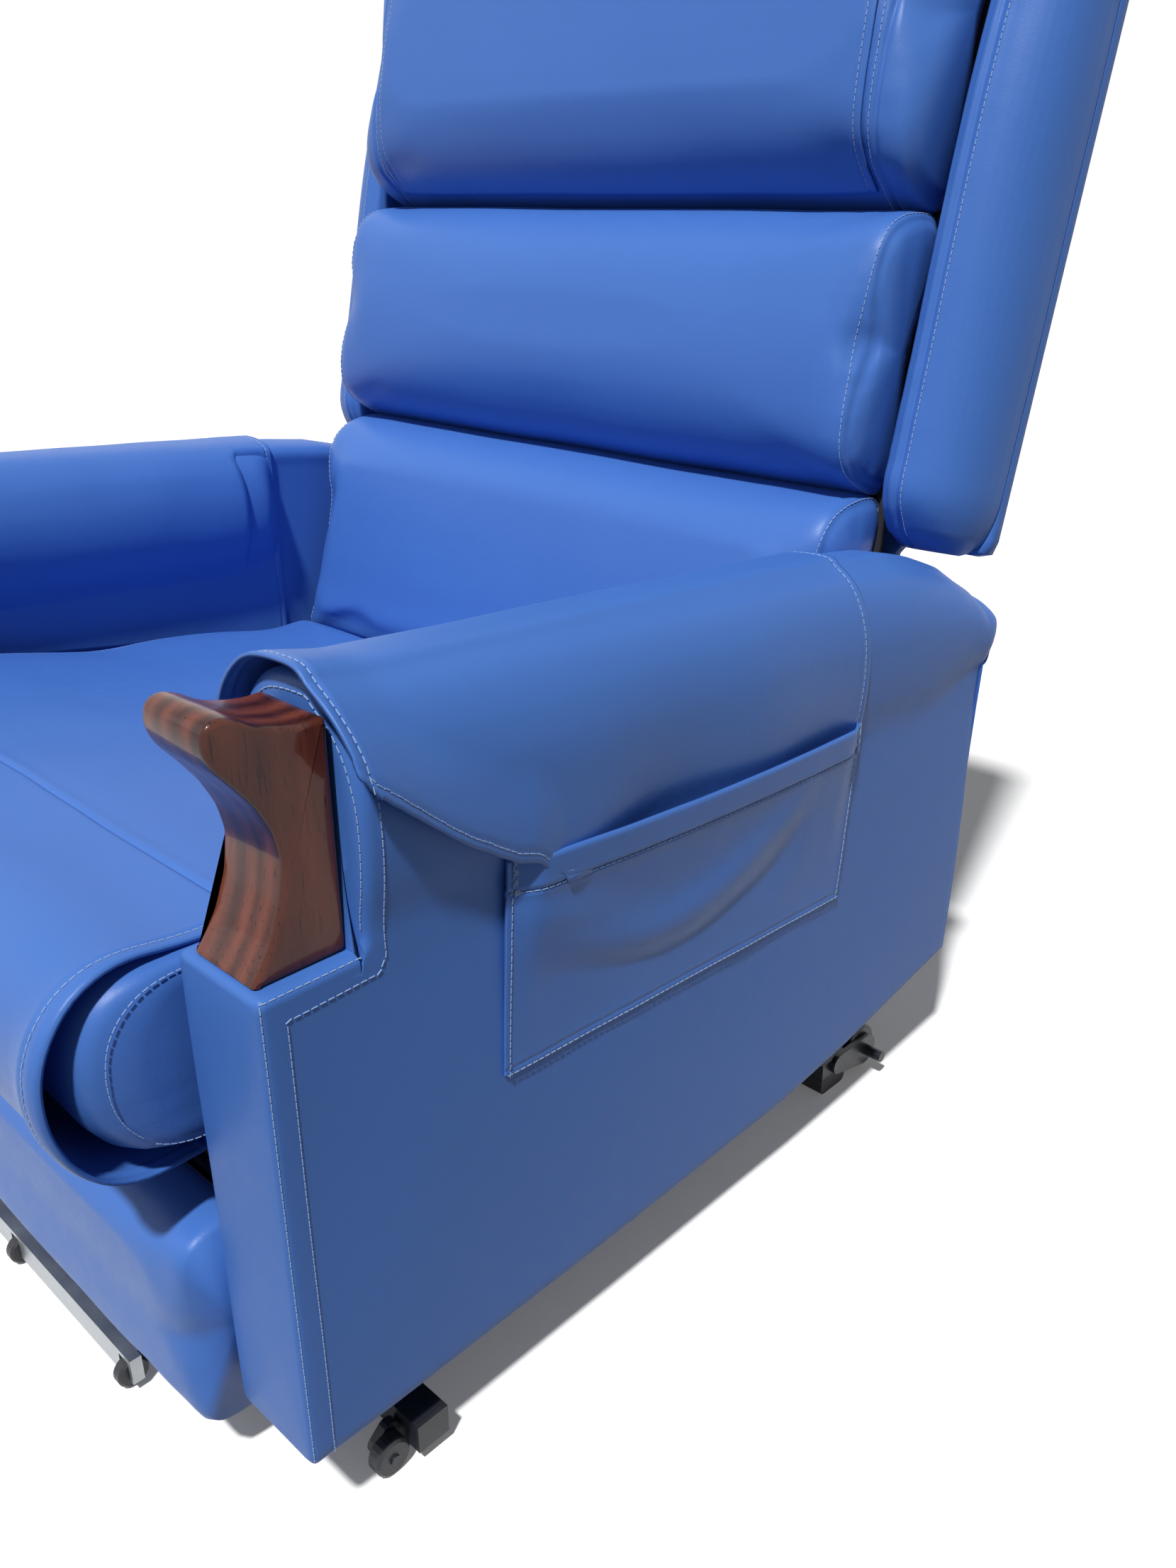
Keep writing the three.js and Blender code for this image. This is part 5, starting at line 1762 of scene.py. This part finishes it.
    def board(self, look: Palette, sewing: Sewing) -> None:
        """Make the covered board behind the pillows, softly crowned at the back.

        Args:
            look: the finishes.
            sewing: the rows of stitches.
        """
        p = self.places
        points, _ = node_arrays("back_board")
        local = np.column_stack([points[:, 0], p.unlean(points[:, 1:])])
        lo, hi = local[:, 1].min(), local[:, 1].max()
        low, high = local[:, 2].min(), local[:, 2].max()
        wide, narrow = local[:, 0].max(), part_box("back_shaft")[1][0] - 0.013
        up = float(np.sort(local[np.abs(local[:, 0]) > wide - 1e-4, 2])[0]) - 0.012
        shape = np.array([(-narrow, low), (narrow, low), (narrow, up), (wide, up), (wide, high), (-wide, high),
                          (-wide, up), (-narrow, up)])
        outline = resampled(shape, 240, 9 * MM)
        outline[:, 1] = np.clip(outline[:, 1], low, high)
        flat = loft(outline, lo, hi, 0.007, 0.0, 0.006)
        pts = flat.points
        order = pts[..., [1, 0, 2]]
        centre = outline.mean(0)
        away = np.hypot((order[..., 0] - centre[0]) / wide, (order[..., 2] - centre[1]) / (0.5 * (high - low)))
        order[..., 1] += 0.006 * np.clip(1 - away ** 2, 0, 1) * (order[..., 1] > hi - 0.001)
        net = Grid(order, True)
        obj = closed_mesh("back_cover", Grid(p.lean(net.points), True))
        dress(obj, look.rear)
        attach(obj, "backrest")
        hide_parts("back_board")
        inset = shrunken(outline, 0.016)
        behind = np.column_stack([inset[:, 0], np.full(len(inset), hi + 0.3), inset[:, 1]])
        way = p.lean(np.array([[0, -1.0, 0]])) - p.lean(np.array([[0, 0.0, 0]]))
        sewing.row("backrest", laid_on(obj, p.lean(np.vstack([behind, behind[:1]])), way[0]))

    def build(self, look: Palette, sewing: Sewing) -> None:
        """Make the whole backrest.

        Args:
            look: the finishes.
            sewing: the rows of stitches.
        """
        specs = [PillowSpec("lumbar_pillow_cover", "lumbar_pillow", 9 * MM, 2.0, foot=True),
                 PillowSpec("middle_pillow_cover", "middle_pillow", 9 * MM, 5.0),
                 PillowSpec("head_pillow_cover", "head_pillow", 40 * MM, 8.0)]
        nets = [self.pillow(spec, look, sewing) for spec in specs]
        self.head_cover(nets[-1], look, sewing)
        # paint the shade behind the pillows with a near-black sheet
        self.painted_shade_sheet(look)
        for side in ("left", "right"):
            self.wing(side, look, sewing)
        self.board(look, sewing)

    def painted_shade_sheet(self, look: Palette) -> None:
        """Stretch a near-black sheet between the pillows and the frame that paints the shade in the gaps between the
        pillows.

        Args:
            look: the finishes.
        """
        p = self.places
        points, _ = node_arrays("head_pillow")
        local = p.unlean(points[:, 1:])
        back, high = local[:, 0].max() - 1.3 * MM, local[:, 1].max() - 0.02
        half, low = points[:, 0].max() - 2 * MM, 0.075
        xs, hs = np.linspace(-half, half, 40), np.linspace(low, high, 44)
        net = np.stack(np.meshgrid(xs, [back], hs, indexing="ij"), -1)[:, 0]
        net[..., 1] -= 0.6 * MM * np.abs(ripple(net, 0.08, 40.0))
        # near-black sheet: painted shade in the gaps between the pillows
        obj = sheet_mesh("back_painted_shade_sheet", Grid(p.lean(net)), 1.4 * MM)
        dress(obj, look.painted_shade_sheet)
        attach(obj, "backrest")


# ------------------------------------------------------------------ legrest
@dataclass
class Legrest:
    """Padded legrest panel with rounded lower corners."""

    places: Places
    corner: float = 0.03
    shrink: float = 4 * MM

    def build(self, look: Palette) -> None:
        """Fill, round and dress the pad.

        Args:
            look: the finishes.
        """
        points, faces = node_arrays("legrest_pad")
        outline = resampled(end_outline(points, faces, 0, True), 64, 5 * MM)
        half, low, high = points[:, 0].max(), outline[:, 1].min(), outline[:, 1].max()
        back = outline[:, 0].max()
        reach = half - self.shrink
        slack = loft(shrunken(outline, self.shrink), -reach, reach, 0.014, 0.003, 0.015)
        full = Stuffing(limit=0.007).swell(slack, lambda v: v[:, 1] > back - 0.03)
        full.points[..., 1] = np.minimum(full.points[..., 1], back)
        net = seamed(full, [], 0.009, 132, 0.0, 12.0)
        over = np.clip(np.abs(net.points[..., 0]) - (half - self.corner), 0, self.corner)
        lift = self.corner - np.sqrt(self.corner ** 2 - over ** 2)
        share = (high - net.points[..., 2]) / (high - low)
        net.points[..., 2] += lift * np.clip(share, 0, 1)
        net.points[..., 2] = np.maximum(net.points[..., 2], low - 0.001)
        obj = closed_mesh("legrest_cover", net)
        dress(obj, look.vinyl)
        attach(obj, "legrest")
        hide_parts("legrest_pad")
        log.info("legrest built")


# ------------------------------------------------------------------ frame finishes
class Hardware:
    """Finishes for the working pieces that keep their own shape."""

    LOOKS = {"zinc": ("base_front_bar", "lift_rod"),
             "ply": ("seat_deck", "back_upright"),
             "rubber": ("rear_foot",),
             "plastic": ("base_tube_cap", "lift_motor", "power_unit", "front_wheel_left", "front_wheel_right",
                         "rear_wheel_left", "rear_wheel_right", "bar_wheel")}

    def dress(self, frame: dict, look: Palette) -> None:
        """Give each carried-over piece its finish.

        Args:
            frame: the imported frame.
            look: the finishes.
        """
        for name, obj in frame["nodes"].items():
            kind = next((k for k, starts in self.LOOKS.items() if name.startswith(starts)), "steel")
            if obj.hide_render:
                continue
            dress(obj, getattr(look, kind))
        log.info("hardware dressed")


# ------------------------------------------------------------------ studio
@dataclass
class Studio:
    """Camera, lamps, floor and sky."""

    eye: tuple[float, float, float] = (1.043, -0.7627, 0.8701)
    yaw: float = math.radians(43.76)
    pitch: float = math.radians(24.155)
    lens: float = 30.0
    sun_way: tuple[float, float, float] = (0.21, -0.46, 0.86)
    sun_power: float = 3.35
    sun_spread: float = math.radians(3.5)
    fill_power: float = 9.0
    fill_size: float = 2.2
    fill_place: tuple[float, float, float] = (-1.6, -2.6, 2.0)
    fill_way: tuple[float, float, float] = (-1.6, -2.6, 1.5)
    sky: float = 0.12
    floor_reach: float = 30.0
    floor_bounce: tuple[float, float, float] = (0.12, 0.12, 0.13)
    floor_seen: tuple[float, float, float] = (0.99, 0.99, 0.99)
    floor_glow: float = 0.1

    def build(self) -> None:
        """Make the whole studio."""
        scene = bpy.context.scene
        scene.view_settings.view_transform = "Standard"
        cam = bpy.data.objects.new("camera", bpy.data.cameras.new("camera"))
        cam.data.lens, cam.data.sensor_width, cam.data.sensor_fit = self.lens, 36.0, "AUTO"
        cam.data.clip_start = 0.01
        cam.location = self.eye
        cam.rotation_euler = (math.pi / 2 - self.pitch, 0.0, self.yaw)
        scene.collection.objects.link(cam)
        scene.camera = cam
        sun = bpy.data.objects.new("key", bpy.data.lights.new("key", "SUN"))
        sun.data.energy, sun.data.angle = self.sun_power, self.sun_spread
        sun.rotation_euler = Vector(self.sun_way).to_track_quat("Z", "Y").to_euler()
        scene.collection.objects.link(sun)
        fill = bpy.data.objects.new("fill", bpy.data.lights.new("fill", "AREA"))
        fill.data.energy, fill.data.size = self.fill_power, self.fill_size
        fill.location = self.fill_place
        fill.rotation_euler = Vector(self.fill_way).to_track_quat("Z", "Y").to_euler()
        scene.collection.objects.link(fill)
        self._floor()
        self._sky()

    def _seen(self, tree: bpy.types.NodeTree) -> bpy.types.NodeSocket:
        """1 for camera, glossy and transmission rays, else 0.

        Args:
            tree: the node tree.
        Returns:
            The mask.
        """
        rays = tree.nodes.new("ShaderNodeLightPath")
        both = math_node(tree, "MAXIMUM", rays.outputs["Is Camera Ray"], rays.outputs["Is Glossy Ray"])
        return math_node(tree, "MAXIMUM", both, rays.outputs["Is Transmission Ray"])

    def _floor(self) -> None:
        """Plain pale floor that throws little light back up."""
        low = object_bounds()[0][2]
        r = self.floor_reach
        floor = mesh_object("floor", [(-r, -r, low), (r, -r, low), (r, r, low), (-r, r, low)], [(0, 1, 2, 3)])
        m = bpy.data.materials.new("pale_floor")
        m.use_nodes = True
        t = m.node_tree
        mix = t.nodes.new("ShaderNodeMix")
        mix.data_type = "RGBA"
        mix.inputs["A"].default_value = (*self.floor_bounce, 1)
        mix.inputs["B"].default_value = (*self.floor_seen, 1)
        t.links.new(self._seen(t), mix.inputs["Factor"])
        p = t.nodes["Principled BSDF"]
        t.links.new(mix.outputs["Result"], p.inputs["Base Color"])
        p.inputs["Roughness"].default_value = 0.9
        p.inputs["Specular IOR Level"].default_value = 0.0
        p.inputs["Emission Color"].default_value = (1, 1, 1, 1)
        t.links.new(math_node(t, "MULTIPLY", self._seen(t), self.floor_glow), p.inputs["Emission Strength"])
        floor.data.materials.append(m)
        floor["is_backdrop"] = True

    def _sky(self) -> None:
        """White sky to the eye and in gloss, dim as a lamp."""
        world = bpy.data.worlds.new("sky")
        world.use_nodes = True
        t = world.node_tree
        back = t.nodes["Background"]
        back.inputs["Color"].default_value = (1, 1, 1, 1)
        strength = math_node(t, "ADD", math_node(t, "MULTIPLY", self._seen(t), 1 - self.sky), self.sky)
        t.links.new(strength, back.inputs["Strength"])
        bpy.context.scene.world = world


def main() -> None:
    """Build the chair and its studio."""
    logging.basicConfig(level=logging.INFO, format="%(message)s")
    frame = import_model()
    places = Places()
    Studio().build()
    look, sewing = Palette(Effects()), Sewing()
    for side in ("left", "right"):
        Arm(side, places).build(look, sewing)
    Seat(places).build(look, sewing)
    Backrest(places).build(look, sewing)
    Legrest(places).build(look)
    Hardware().dress(frame, look)
    sewing.sew(look.thread)


if __name__ == "__main__":
    main()
